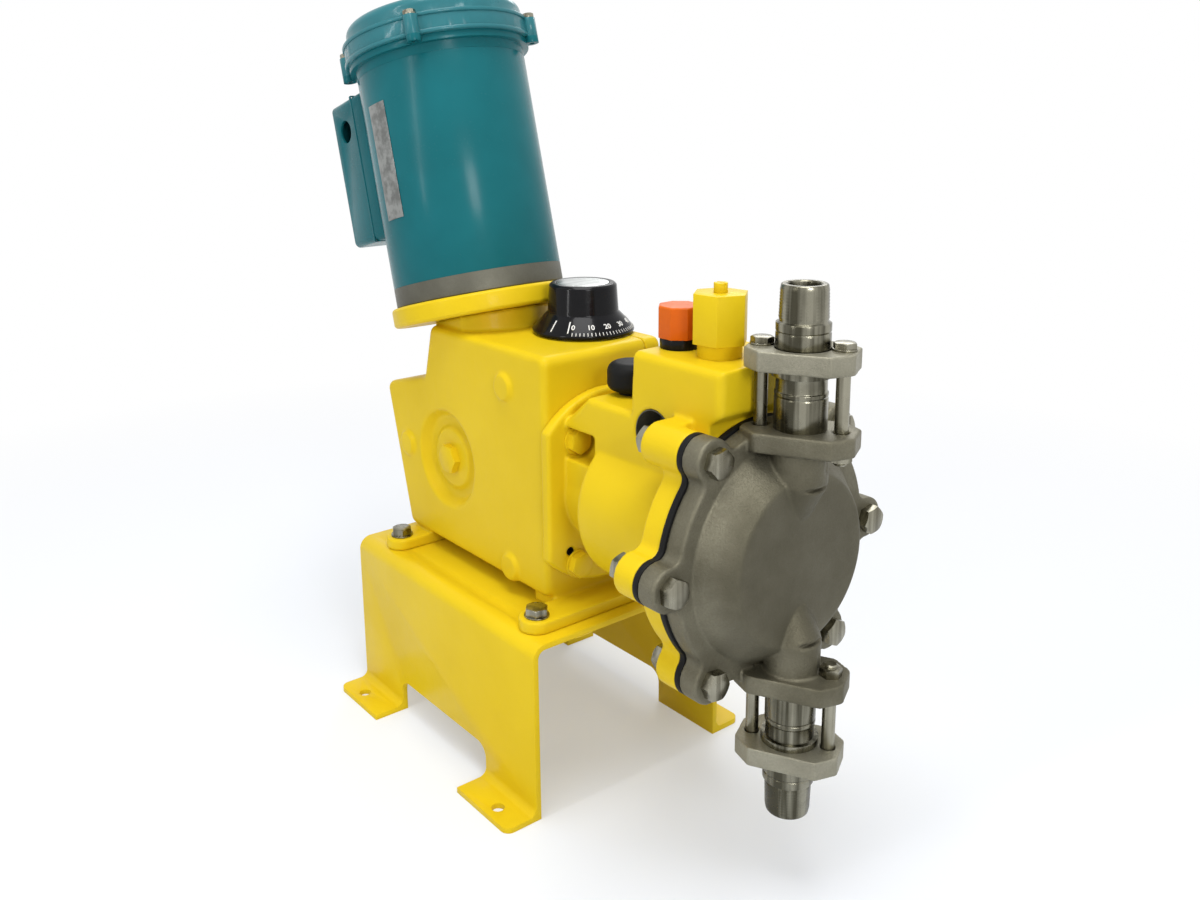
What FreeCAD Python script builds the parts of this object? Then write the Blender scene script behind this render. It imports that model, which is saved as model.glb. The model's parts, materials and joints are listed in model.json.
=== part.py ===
import FreeCAD, Part
import math
import os

# Diaphragm metering pump: a tilted motor drives a worm gear, whose crank strokes a plunger.
# The plunger pushes oil against a diaphragm in the liquid head between two ball check valves.
# Millimetres. +X points to the liquid head, +Z up, and the origin lies on the floor under
# the middle of the stand.

# Stand, bent from one sheet
STAND_LENGTH = 288.0
STAND_WIDTH = 206.0
STAND_HEIGHT = 153.6
STAND_SHEET = 5.0
STAND_BEND = 12.0
LEG_LENGTH = 73.0
LEG_HEIGHT = 32.0
LEG_CORNER = 12.0
FOOT_DEPTH = 30.0
FOOT_CORNER = 8.0
FOOT_HOLE_RADIUS = 5.5
FOOT_HOLE_X = 115.0
FOOT_HOLE_Y = 121.0

# Heights above the stand, so that all that stands on it follows its height
BOX_RISE = 12.4
BOX_HEIGHT = 206.4
PUMP_RISE = 104.4
BOX_BOTTOM = STAND_HEIGHT + BOX_RISE
BOX_TOP = BOX_BOTTOM + BOX_HEIGHT
PUMP_Z = STAND_HEIGHT + PUMP_RISE

# Gearbox housing and its lugs on the stand
BOX_FRONT = 104.3
BOX_HALF_WIDTH = 58.3
BOX_WALL = 9.0
BOX_EDGE = 8.0
BOX_TOP_LENGTH = 174.0
STEP_BACK = 14.0
STEP_DROP = 50.7
LEDGE_LENGTH = 75.0
LUG_THICKNESS = 10.4
LUG_RADIUS = 15.0
LUG_FRONT_X = 117.0
LUG_REAR_X = -101.0
LUG_Y = 79.0
LUG_BOLT_RADIUS = 5.0
LUG_HOLE_CLEARANCE = 0.5
RECESS_X = -48.0
RECESS_Z = PUMP_Z - 7.5
RECESS_RADIUS = 46.0
RECESS_DEPTH = 9.0
RECESS_HUB_RADIUS = 31.0
RECESS_HUB_HEIGHT = 4.0
RECESS_THREAD = 8.0
BUMP_RADIUS = 13.5
BUMP_HEIGHT = 3.5
BUMP_PLACES = ((48.0, 80.0), (-116.0, -9.0), (52.0, -80.0))
COVER_THICKNESS = 8.0
COVER_BULGE = 9.2
COVER_RIM = 26.0
COVER_BOLT_INSET = 16.0
COVER_BOLT_RADIUS = 3.0
COVER_BOLT_DEPTH = 10.0
COLUMN_RADIUS = 9.0

# Motor, worm and the tilt of their common axis
MOTOR_X = -70.6
MOTOR_RISE = 20.3
MOTOR_Z = BOX_TOP + MOTOR_RISE
TILT = 15.0
ADAPTER_DISC_RADIUS = 84.0
ADAPTER_DISC_THICKNESS = 18.0
NECK_RADIUS = 46.0
PAD_RADIUS = 62.0
PAD_HALF_WIDTH = 50.0
NECK_BORE = 33.0
MOTOR_RADIUS = 78.5
MOTOR_WALL = 4.5
END_BELL_HEIGHT = 18.0
FRAME_TOP = 212.0
FAN_BELL_HEIGHT = 14.0
FAN_RIM_RADIUS = 84.0
FAN_RIM_HEIGHT = 6.0
FAN_COVER_RADIUS = 86.0
FAN_CROWN_RADIUS = 82.0
FAN_COVER_HEIGHT = 36.0
FAN_BAND_HEIGHT = 17.0
FAN_COVER_WALL = 3.0
COVER_LUG_CIRCLE = 88.5
COVER_LUG_RADIUS = 6.5
COVER_SCREW_RADIUS = 2.5
FAN_RADIUS = 62.0
FAN_HUB_RADIUS = 20.0
FAN_HUB_HEIGHT = 12.0
FAN_BLADE_HEIGHT = 14.0
FAN_BLADE_THICKNESS = 2.4
FAN_CLEARANCE = 3.0
STATOR_START = 72.0
STATOR_END = 168.0
STATOR_BORE = 45.5
ROTOR_GAP = 0.8
WINDING_HEIGHT = 28.0
MOTOR_SHAFT_RADIUS = 7.94
CONDUIT_DEPTH = 140.0
CONDUIT_HALF_WIDTH = 48.0
CONDUIT_LOW = 72.0
CONDUIT_HIGH = 216.0
CONDUIT_WALL = 3.0
CONDUIT_SEAT = 77.0
KNOCKOUT_RADIUS = 11.0
KNOCKOUT_OFFSET = 118.0
KNOCKOUT_HEIGHT = 186.0
NAMEPLATE_THICKNESS = 0.8
NAMEPLATE_LOW = 78.0
NAMEPLATE_HIGH = 182.0
NAMEPLATE_ANGLE = 18.0
COUPLING_RADIUS = 21.0
FACE_BOLT_CIRCLE = 72.0
FACE_BOLT_RADIUS = 4.76
FACE_BOLT_GRIP = 10.0
SOCKET_RADIUS = 6.8
SOCKET_HEIGHT = 7.5

# Worm gear
GEAR_MODULE = 3.25
GEAR_TEETH = 24
WORM_PITCH_RADIUS = 14.0
WORM_LENGTH = 46.0
WORM_BACKLASH = 0.8
WHEEL_BACKLASH = 0.35
TOOTH_ADDENDUM = 2.7
TOOTH_DEDENDUM = 3.7
PRESSURE_ANGLE = 20.0
GEAR_HALF_WIDTH = 9.0
GEAR_HUB_HALF_WIDTH = 15.0
GEAR_HUB_RADIUS = 21.0
WORM_SHAFT_RADIUS = 8.5
WORM_BEARING_RADIUS = 20.0
WORM_BEARING_WIDTH = 12.0
WORM_BEARING_OFFSET = 50.0
BEARING_FOOT_LENGTH = 60.0
WHEEL_HOLE_RADIUS = 4.0
WHEEL_HOLE_CIRCLE = 28.5

# Crank, rod and plunger, on the pump axis
CRANK_THROW = 10.0
CRANK_SHAFT_RADIUS = 12.5
SHEAVE_RADIUS = 26.0
SHEAVE_START = 17.5
SHEAVE_WIDTH = 12.0
STRAP_RADIUS = 33.5
CRANK_BEARING_RADIUS = 26.0
CRANK_BEARING_START = 33.0
CRANK_BEARING_WIDTH = 15.0
BEARING_WALL = 7.0
ROD_LENGTH = 96.6
BRIDGE_START = 53.0
BRIDGE_THICKNESS = 9.5
ARM_HALF_HEIGHT = 10.0
SHANK_HALF_HEIGHT = 8.0
SHANK_HALF_WIDTH = 8.0
EYE_RADIUS = 10.0
PIN_RADIUS = 5.0
PIN_HALF_LENGTH = 15.0
CROSSHEAD_RADIUS = 28.0
CROSSHEAD_WALL = 4.5
CROSSHEAD_BACK = 12.0
CROSSHEAD_CROWN = 9.5
PLUNGER_RADIUS = 16.0
PLUNGER_LENGTH = 58.0
RUNNING_FIT = 0.05
STROKE = 2 * CRANK_THROW

# Hydraulic body between gearbox and liquid head, with its oil reservoir on top
REAR_FLANGE_RADIUS = 83.0
REAR_FLANGE_HALF_WIDTH = 62.5
REAR_FLANGE_THICKNESS = 10.0
REAR_BOLT_Y = 34.0
REAR_BOLT_HEIGHTS = (-62.0, 45.0)
REAR_BOLT_RADIUS = 5.0
SPOTFACE_RADIUS = 13.0
SPOTFACE_DEPTH = 24.0
SPIGOT_RADIUS = 37.0
SPIGOT_LENGTH = 6.0
BODY_NECK_RADIUS = 46.0
BARREL_RADIUS = 66.0
BARREL_START = 150.0
SHOULDER_TOP = PUMP_Z + 87.5
SHOULDER_SLOPE = 24.0
DRAIN_RADIUS = 3.5
DRAIN_Y = -41.0
DRAIN_DROP = 50.0
RESERVOIR_HALF_WIDTH = 45.0
RESERVOIR_BACK = 196.0
RESERVOIR_FRONT = 284.5
RESERVOIR_TOP = PUMP_Z + 135.0
RESERVOIR_UNDERSIDE = PUMP_Z + 104.0
RESERVOIR_WALL = 7.0
FRONT_FLANGE_BACK = 258.0
FRONT_FLANGE_THICKNESS = 19.5
RIM_RADIUS = 95.0
EAR_CIRCLE = 101.7
EAR_RADIUS = 16.0
EAR_ANGLES = (0.0, 52.0, 128.0, 180.0, 232.0, 308.0)
HEAD_BOLT_RADIUS = 6.35
HEAD_HOLE_RADIUS = 6.8
EAR_BOSS_LENGTH = 17.0
EAR_BOSS_ANGLES = (52.0, 128.0)
POCKET_X = 217.5
POCKET_RISE = 75.5
POCKET_RADIUS = 19.5
POCKET_DEPTH = 26.0
LINER_RADIUS = 24.0
LINER_LENGTH = 40.0
SEAL_THICKNESS = 4.0
OIL_BORE = 24.0
FEED_RADIUS = 4.0
DIAPHRAGM_RADIUS = 82.0
DIAPHRAGM_THICKNESS = 2.0
DISH_RADIUS = 68.0
CONTOUR_RADIUS = 72.0
CONTOUR_THICKNESS = 4.0
CONTOUR_GAP = 3.5
INSERT_RADIUS = 30.0
RING_THICKNESS = 5.0
RING_OVERHANG = 1.5

# Liquid head
HEAD_FLANGE_THICKNESS = 15.5
DOME_BASE_RADIUS = 83.0
DOME_FACE_RADIUS = 63.0
DOME_HEIGHT = 24.0
LIQUID_CAVITY_DEPTH = 16.0
PORT_RADIUS = 10.0
NECK_CAST_RADIUS = 20.0

# Check valves, on one vertical axis, measured from the pump axis
VALVE_X = 315.4
VALVE_TURN = 27.5
PLATE_START = 82.0
PLATE_THICKNESS = 14.0
PLATE_HALF_LENGTH = 39.0
CLAMP_HALF_LENGTH = 37.0
PLATE_HALF_WIDTH = 25.0
PLATE_CORNER = 13.0
CLAMP_START = 138.0
CLAMP_THICKNESS = 14.0
VALVE_END = 195.0
NIPPLE_LENGTH = 26.0
NIPPLE_RADIUS = 16.7
COLLAR_RADIUS = 18.4
BODY_RADIUS = 18.0
BODY_STEP = 122.0
BODY_WAIST_RADIUS = 17.2
SHOULDER_RADIUS = 20.5
SHOULDER_THICKNESS = 5.0
CARTRIDGE_BORE = 12.5
NIPPLE_BORE = 11.0
SEAT_THICKNESS = 8.0
SEAT_BORE = 7.5
STOP_THICKNESS = 4.0
BALL_RADIUS = 9.5
BALL_LIFT = 4.0
BALL_GAP = 0.3
TIE_SPACING = 27.5
TIE_RADIUS = 4.75
TIE_HOLE_RADIUS = 5.2
TIE_STUD_END = 9.0
TIE_FLATS = 14.0
TIE_HEAD = 5.5

# Capacity knob and its spindle
KNOB_X = 45.0
KNOB_Y = 30.0
KNOB_SKIRT_RADIUS = 44.5
KNOB_RADIUS = 29.5
KNOB_HEIGHT = 42.0
KNOB_FLARE_HEIGHT = 17.0
KNOB_RIM = 2.5
KNOB_GAP = 2.0
KNOB_DISC_RADIUS = 23.0
KNOB_DISC_THICKNESS = 1.2
SPINDLE_RADIUS = 6.0
SPINDLE_LENGTH = 88.0
KNOB_HOLLOW_RADIUS = 15.0
BUSH_RADIUS = 11.0
BUSH_LENGTH = 22.0

# Fittings on the reservoir and the hydraulic body
FILLER_X = 209.0
FILLER_Y = -11.0
FILLER_NECK_RADIUS = 13.0
FILLER_NECK_HEIGHT = 12.0
FILLER_CAP_RADIUS = 16.5
FILLER_CAP_HEIGHT = 24.0
FILLER_BORE = 8.0
FILLER_THREAD_RADIUS = 10.0
RELIEF_X = 248.0
RELIEF_Y = -9.0
RELIEF_BASE_RADIUS = 16.0
RELIEF_BASE_HEIGHT = 10.0
RELIEF_FLATS = 36.0
RELIEF_HEIGHT = 36.0
RELIEF_BORE = 9.0
RELIEF_NUB_RADIUS = 5.0
RELIEF_NUB_HEIGHT = 7.0
VENT_X = 152.0
VENT_Y = -8.0
VENT_RADIUS = 19.0
VENT_HEIGHT = 26.0
VENT_STEM_RADIUS = 10.0
VENT_STEM_HEIGHT = 3.0

# Fasteners
HEX_SMALL = 14.0
HEX_LARGE = 19.0
HEAD_SMALL = 6.5
HEAD_LARGE = 8.0
NUT_LARGE = 11.0
PLUG_FLATS = 24.0
BOLT_GAP = 0.3

# Worked out from the sizes above
TILT_SIN = math.sin(math.radians(TILT))
TILT_COS = math.cos(math.radians(TILT))
GEAR_PITCH_RADIUS = GEAR_MODULE * GEAR_TEETH / 2
CENTRE_DISTANCE = GEAR_PITCH_RADIUS + WORM_PITCH_RADIUS
WORM_DROP = (MOTOR_Z + CENTRE_DISTANCE * TILT_SIN - PUMP_Z) / TILT_COS
SHAFT_END = -0.306 * WORM_DROP
COUPLING_LENGTH = 0.3645 * WORM_DROP
CRANK_X = MOTOR_X + CENTRE_DISTANCE * TILT_COS + WORM_DROP * TILT_SIN
SHEAVE_X = CRANK_X + CRANK_THROW
EYE_X = SHEAVE_X + ROD_LENGTH
CROSSHEAD_REAR = EYE_X - CROSSHEAD_BACK
CROSSHEAD_HOLLOW_END = EYE_X + STROKE + EYE_RADIUS + 1.5
CROSSHEAD_FRONT = CROSSHEAD_HOLLOW_END + CROSSHEAD_CROWN
GUIDE_END = CROSSHEAD_FRONT + 4.0
LINER_START = GUIDE_END + 4.0
LINER_END = LINER_START + LINER_LENGTH
FLANGE_FACE = FRONT_FLANGE_BACK + FRONT_FLANGE_THICKNESS
RING_FRONT = FLANGE_FACE + RING_THICKNESS
HEAD_FLANGE_FRONT = RING_FRONT + HEAD_FLANGE_THICKNESS
DOME_FRONT = HEAD_FLANGE_FRONT + DOME_HEIGHT
BOX_TOP_REAR = BOX_FRONT - BOX_TOP_LENGTH
WALL_INNER = BOX_HALF_WIDTH - COVER_THICKNESS
COVER_FACE = BOX_HALF_WIDTH + COVER_BULGE


def vec(x, y, z):
    return FreeCAD.Vector(x, y, z)


def box(x0, x1, y0, y1, z0, z1):
    return Part.makeBox(x1 - x0, y1 - y0, z1 - z0, vec(x0, y0, z0))


def rod(radius, start, end):
    """Round bar between two points."""
    way = end - start
    return Part.makeCylinder(radius, way.Length, start, way)


def tube(outer, inner, start, end):
    """Round bar with a bore right through."""
    way = (end - start).normalize()
    return rod(outer, start, end).cut(rod(inner, start - way, end + way))


def cone(radius_start, radius_end, start, end):
    way = end - start
    return Part.makeCone(radius_start, radius_end, way.Length, start, way)


def along_x(radius, x0, x1, y=0.0, z=PUMP_Z):
    return rod(radius, vec(x0, y, z), vec(x1, y, z))


def hexagon(flats, start, end, turn=0.0):
    """Hexagonal bar between two points, with one corner turned by an angle."""
    way = end - start
    corner = flats / math.sqrt(3)
    points = []
    for i in range(7):
        angle = math.radians(60 * i + turn)
        points.append(vec(corner * math.cos(angle), corner * math.sin(angle), 0))
    bar = Part.Face(Part.makePolygon(points)).extrude(vec(0, 0, way.Length))
    bar.Placement = FreeCAD.Placement(start, FreeCAD.Rotation(vec(0, 0, 1), way))
    return bar


def prism_xz(points, y0, y1):
    """Solid between two planes of constant y, from an outline in X and Z."""
    corners = [vec(x, y0, z) for x, z in points]
    corners.append(corners[0])
    return Part.Face(Part.makePolygon(corners)).extrude(vec(0, y1 - y0, 0))


def fillet(shape, radius, wanted):
    """Round the edges whose middle point and direction pass the test."""
    chosen = []
    for edge in shape.Edges:
        middle = edge.valueAt((edge.FirstParameter + edge.LastParameter) / 2)
        way = edge.tangentAt((edge.FirstParameter + edge.LastParameter) / 2)
        if wanted(middle, way):
            chosen.append(edge)
    return shape.makeFillet(radius, chosen)


def tilted(shape):
    """Move a shape from the motor's upright frame to its place on the gearbox."""
    moved = shape.copy()
    moved.rotate(vec(0, 0, 0), vec(0, 1, 0), -TILT)
    moved.translate(vec(MOTOR_X, 0, MOTOR_Z))
    return moved


def up(radius, z0, z1, x=0.0, y=0.0):
    return rod(radius, vec(x, y, z0), vec(x, y, z1))


def up_tube(outer, inner, z0, z1, x=0.0, y=0.0):
    return tube(outer, inner, vec(x, y, z0), vec(x, y, z1))


def ring_points(radius, angles):
    """Points on a circle in the Y and Z plane about the pump axis."""
    return [
        (radius * math.cos(math.radians(a)), PUMP_Z + radius * math.sin(math.radians(a)))
        for a in angles
    ]


def lug_places():
    return [(x, side * LUG_Y) for x in (LUG_REAR_X, LUG_FRONT_X) for side in (-1, 1)]


def export(name, shapes):
    """Write one sub-part, made of one or more separate solids."""
    group = shapes if isinstance(shapes, list) else [shapes]
    solids = [solid for shape in group for solid in shape.Solids]
    whole = solids[0] if len(solids) == 1 else Part.makeCompound(solids)
    whole.exportStep("parts/" + name + ".step")


def make_stand():
    half_length = STAND_LENGTH / 2
    half_width = STAND_WIDTH / 2
    outer = box(-half_length, half_length, -half_width, half_width, 0, STAND_HEIGHT)
    outer = fillet(outer, STAND_BEND, lambda p, w: p.z > STAND_HEIGHT - 1 and abs(w.x) > 0.9)
    inside = half_width - STAND_SHEET
    under = STAND_HEIGHT - STAND_SHEET
    inner = box(-half_length - 1, half_length + 1, -inside, inside, -1, under)
    inner = fillet(inner, STAND_BEND - STAND_SHEET, lambda p, w: p.z > under - 1 and abs(w.x) > 0.9)
    stand = outer.cut(inner)
    reach = half_width + FOOT_DEPTH
    for side in (-1, 1):
        low, high = sorted((side * inside, side * reach))
        stand = stand.fuse(box(-half_length, half_length, low, high, 0, STAND_SHEET))
    stand = stand.removeSplitter()
    stand = fillet(
        stand,
        STAND_BEND - STAND_SHEET,
        lambda p, w: abs(abs(p.y) - half_width) < 0.1 and abs(p.z - STAND_SHEET) < 0.1 and abs(w.x) > 0.9,
    )
    stand = fillet(stand, FOOT_CORNER, lambda p, w: abs(abs(p.y) - reach) < 0.1 and abs(w.z) > 0.9)
    gap = half_length - LEG_LENGTH
    cut = box(-gap, gap, -reach - 1, reach + 1, -1, LEG_HEIGHT)
    cut = fillet(cut, LEG_CORNER, lambda p, w: p.z > LEG_HEIGHT - 1 and abs(w.y) > 0.9)
    stand = stand.cut(cut)
    for x in (-FOOT_HOLE_X, FOOT_HOLE_X):
        for y in (-FOOT_HOLE_Y, FOOT_HOLE_Y):
            stand = stand.cut(up(FOOT_HOLE_RADIUS, -1, STAND_SHEET + 1, x, y))
    for x, y in lug_places():
        hole = LUG_BOLT_RADIUS + LUG_HOLE_CLEARANCE
        stand = stand.cut(up(hole, under - 1, STAND_HEIGHT + 1, x, y))
    return stand


def make_lug_bolts():
    """Bolts through the gearbox lugs and the stand, with their nuts under the sheet."""
    bolts = []
    top = STAND_HEIGHT + LUG_THICKNESS
    under = STAND_HEIGHT - STAND_SHEET
    for x, y in lug_places():
        shank = up(LUG_BOLT_RADIUS, under - NUT_LARGE - 2, top + 1, x, y)
        head = hexagon(HEX_LARGE - 2, vec(x, y, top), vec(x, y, top + HEAD_LARGE))
        nut = hexagon(HEX_LARGE - 2, vec(x, y, under - HEAD_LARGE), vec(x, y, under))
        bolts.append(shank.fuse(head).fuse(nut))
    return bolts


def box_outline(inset):
    """Gearbox outline in X and Z, moved inwards by a wall thickness."""
    step_x = BOX_TOP_REAR - STEP_BACK
    step_z = BOX_TOP - STEP_DROP
    rear_x = step_x - LEDGE_LENGTH * TILT_COS
    rear_z = step_z - LEDGE_LENGTH * TILT_SIN
    slope = TILT_SIN / TILT_COS
    low_x = rear_x + (rear_z - BOX_BOTTOM) * slope
    return [
        (BOX_FRONT - inset, BOX_BOTTOM + inset),
        (BOX_FRONT - inset, BOX_TOP - inset),
        (BOX_TOP_REAR + inset, BOX_TOP - inset),
        (step_x + inset, step_z - inset),
        (rear_x + inset * (1 + slope), rear_z - inset),
        (low_x + inset * (1 - slope / 2), BOX_BOTTOM + inset),
    ]


def make_housing():
    """Cast gearbox: hollow, open on its far side, with the motor neck and four lugs."""
    shell = prism_xz(box_outline(0.0), -BOX_HALF_WIDTH, WALL_INNER)
    shell = fillet(shell, BOX_EDGE, lambda p, w: abs(w.y) > 0.9)
    shell = fillet(shell, BOX_EDGE - 2, lambda p, w: p.y < -BOX_HALF_WIDTH + 0.1)
    neck = tilted(up(NECK_RADIUS, -WORM_DROP / 2, -ADAPTER_DISC_THICKNESS))
    pad = tilted(up(PAD_RADIUS, -WORM_DROP / 2, -ADAPTER_DISC_THICKNESS))
    above = box(BOX_TOP_REAR, BOX_FRONT, -PAD_HALF_WIDTH, PAD_HALF_WIDTH, BOX_BOTTOM, MOTOR_Z + PAD_RADIUS)
    shell = shell.fuse([neck, pad.common(above)])
    lug_top = STAND_HEIGHT + LUG_THICKNESS
    for x in (LUG_REAR_X, LUG_FRONT_X):
        bar = box(x - LUG_RADIUS, x + LUG_RADIUS, -LUG_Y, LUG_Y, STAND_HEIGHT, lug_top)
        shell = shell.fuse(bar)
        front = min(x + LUG_RADIUS, BOX_FRONT)
        back = front - 2 * LUG_RADIUS
        bed = box(back, front, -WALL_INNER, WALL_INNER, STAND_HEIGHT, BOX_BOTTOM + BOX_WALL)
        shell = shell.fuse(bed)
        for side in (-1, 1):
            shell = shell.fuse(up(LUG_RADIUS, STAND_HEIGHT, lug_top, x, side * LUG_Y))
    cavity = prism_xz(box_outline(BOX_WALL), -WALL_INNER, WALL_INNER + 1)
    cavity = cavity.cut(make_inner_bosses())
    shell = shell.cut(cavity)
    bore_low = -WORM_DROP + WORM_BEARING_OFFSET + WORM_BEARING_WIDTH + 2
    shell = shell.cut(tilted(up(NECK_BORE, bore_low, 0)))
    shell = shell.cut(along_x(SPIGOT_RADIUS + RUNNING_FIT, BOX_FRONT - BOX_WALL - 1, BOX_FRONT + 1))
    shell = cut_bearing_seats(shell)
    shell = add_recess(shell)
    for x, y in lug_places():
        hole = up(LUG_BOLT_RADIUS + LUG_HOLE_CLEARANCE, STAND_HEIGHT - 1, lug_top + 1, x, y)
        shell = shell.cut(hole)
    for y, z in rear_bolt_places():
        hole = along_x(REAR_BOLT_RADIUS, BOX_FRONT - BOX_WALL - 1, BOX_FRONT + 1, y, z)
        shell = shell.cut(hole)
    shell = shell.cut(up(BUSH_RADIUS, BOX_TOP - BUSH_LENGTH, BOX_TOP + 1, KNOB_X, KNOB_Y))
    for x, z in cover_bolt_places():
        hole = rod(COVER_BOLT_RADIUS, vec(x, WALL_INNER - COVER_BOLT_DEPTH, z), vec(x, WALL_INNER + 1, z))
        shell = shell.cut(hole)
    return shell.removeSplitter()


def rear_bolt_places():
    return [(side * REAR_BOLT_Y, PUMP_Z + rise) for side in (-1, 1) for rise in REAR_BOLT_HEIGHTS]


def make_inner_bosses():
    """What stands inside the hollow housing: bearing webs, the spindle boss and pads."""
    web_low = -WORM_DROP + WORM_BEARING_OFFSET
    web_high = web_low + WORM_BEARING_WIDTH + 2
    reach = NECK_RADIUS
    web = tilted(box(-reach - 10, reach - 8, -WALL_INNER, WALL_INNER - 12, web_low, web_high))
    foot_top = -WORM_DROP - WORM_BEARING_OFFSET
    foot = tilted(up(WORM_BEARING_RADIUS + BEARING_WALL, foot_top - BEARING_FOOT_LENGTH, foot_top))
    crank_boss = rod(
        CRANK_BEARING_RADIUS + BEARING_WALL,
        vec(CRANK_X, -WALL_INNER, PUMP_Z),
        vec(CRANK_X, -CRANK_BEARING_START, PUMP_Z),
    )
    bush_boss = up(BUSH_RADIUS + 6, BOX_TOP - BUSH_LENGTH, BOX_TOP, KNOB_X, KNOB_Y)
    pad = rod(
        RECESS_RADIUS + 6,
        vec(RECESS_X, -WALL_INNER, RECESS_Z),
        vec(RECESS_X, -WALL_INNER + RECESS_DEPTH, RECESS_Z),
    )
    bosses = web.fuse([foot, crank_boss, bush_boss, pad])
    for x, z in cover_bolt_places():
        column = rod(COLUMN_RADIUS, vec(x, WALL_INNER - COVER_BOLT_INSET, z), vec(x, WALL_INNER, z))
        bosses = bosses.fuse(column)
    return bosses


def cut_bearing_seats(shell):
    worm_high = -WORM_DROP + WORM_BEARING_OFFSET
    worm_low = -WORM_DROP - WORM_BEARING_OFFSET
    seat = tilted(up(WORM_BEARING_RADIUS, worm_high, worm_high + WORM_BEARING_WIDTH + 3))
    shell = shell.cut(seat)
    seat = tilted(up(WORM_BEARING_RADIUS, worm_low - WORM_BEARING_WIDTH, worm_low + 1))
    shell = shell.cut(seat)
    seat = rod(
        CRANK_BEARING_RADIUS,
        vec(CRANK_X, -CRANK_BEARING_START - CRANK_BEARING_WIDTH, PUMP_Z),
        vec(CRANK_X, -CRANK_BEARING_START + 1, PUMP_Z),
    )
    return shell.cut(seat)


def add_recess(shell):
    """Dished round recess with a raised hub and plug hole, and three cast bumps."""
    face = -BOX_HALF_WIDTH
    floor = face + RECESS_DEPTH
    dish = cone(
        RECESS_RADIUS - 7,
        RECESS_RADIUS,
        vec(RECESS_X, floor, RECESS_Z),
        vec(RECESS_X, face - 0.01, RECESS_Z),
    )
    shell = shell.cut(dish)
    hub = cone(
        RECESS_HUB_RADIUS,
        RECESS_HUB_RADIUS - 4,
        vec(RECESS_X + 2, floor, RECESS_Z),
        vec(RECESS_X + 2, floor - RECESS_HUB_HEIGHT, RECESS_Z),
    )
    shell = shell.fuse(hub)
    shell = shell.cut(
        rod(RECESS_THREAD, vec(RECESS_X + 2, floor - 20, RECESS_Z), vec(RECESS_X + 2, floor + 8, RECESS_Z))
    )
    for x, rise in BUMP_PLACES:
        z = PUMP_Z + rise
        bump = cone(BUMP_RADIUS, BUMP_RADIUS - 3, vec(x, face + 1, z), vec(x, face - BUMP_HEIGHT, z))
        shell = shell.fuse(bump)
    return shell


def make_inspection_plug():
    base = -BOX_HALF_WIDTH + RECESS_DEPTH - RECESS_HUB_HEIGHT
    x = RECESS_X + 2
    head = hexagon(PLUG_FLATS, vec(x, base, RECESS_Z), vec(x, base - 7, RECESS_Z))
    thread = rod(RECESS_THREAD, vec(x, base, RECESS_Z), vec(x, base + 10, RECESS_Z))
    return head.fuse(thread)


def cover_bolt_places():
    """Cover bolts near the corners of the housing's open side."""
    x_high = BOX_FRONT - COVER_BOLT_INSET
    z_high = BOX_TOP - COVER_BOLT_INSET
    z_low = BOX_BOTTOM + COVER_BOLT_INSET
    x_top = BOX_TOP_REAR + COVER_BOLT_INSET
    rear = box_outline(COVER_BOLT_INSET)
    return [(x_high, z_low), (x_high, z_high), (x_top, z_high), rear[4], rear[5], (0.0, z_low)]


def make_side_cover():
    """Dished plate that closes the far side and carries the second crank bearing."""
    plate = prism_xz(box_outline(0.0), WALL_INNER, COVER_FACE)
    plate = fillet(plate, BOX_EDGE, lambda p, w: abs(w.y) > 0.9)
    plate = fillet(plate, 4.0, lambda p, w: p.y > COVER_FACE - 0.1)
    plate = plate.cut(prism_xz(box_outline(COVER_RIM), WALL_INNER - 1, COVER_FACE - COVER_THICKNESS))
    boss = rod(
        CRANK_BEARING_RADIUS + BEARING_WALL,
        vec(CRANK_X, CRANK_BEARING_START, PUMP_Z),
        vec(CRANK_X, COVER_FACE - 1, PUMP_Z),
    )
    plate = plate.fuse(boss)
    seat = rod(
        CRANK_BEARING_RADIUS,
        vec(CRANK_X, CRANK_BEARING_START - 1, PUMP_Z),
        vec(CRANK_X, CRANK_BEARING_START + CRANK_BEARING_WIDTH, PUMP_Z),
    )
    plate = plate.cut(seat)
    cap = rod(
        CRANK_BEARING_RADIUS + 4,
        vec(CRANK_X, COVER_FACE - 1, PUMP_Z),
        vec(CRANK_X, COVER_FACE + 5, PUMP_Z),
    )
    cap = fillet(cap, 3.0, lambda p, w: p.y > COVER_FACE + 4.9)
    plate = plate.fuse(cap)
    for x, z in cover_bolt_places():
        hole = rod(COVER_BOLT_RADIUS + 0.3, vec(x, WALL_INNER - 1, z), vec(x, COVER_FACE + 1, z))
        plate = plate.cut(hole)
    return plate.removeSplitter()


def make_cover_bolts():
    bolts = []
    for x, z in cover_bolt_places():
        low = WALL_INNER - COVER_BOLT_DEPTH
        shank = rod(COVER_BOLT_RADIUS, vec(x, low, z), vec(x, COVER_FACE + 1, z))
        head = hexagon(HEX_SMALL, vec(x, COVER_FACE, z), vec(x, COVER_FACE + HEAD_SMALL, z))
        bolts.append(shank.fuse(head))
    return bolts


def face_bolt_points(start_angle=45.0):
    return [
        (
            FACE_BOLT_CIRCLE * math.cos(math.radians(start_angle + 90 * i)),
            FACE_BOLT_CIRCLE * math.sin(math.radians(start_angle + 90 * i)),
        )
        for i in range(4)
    ]


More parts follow.
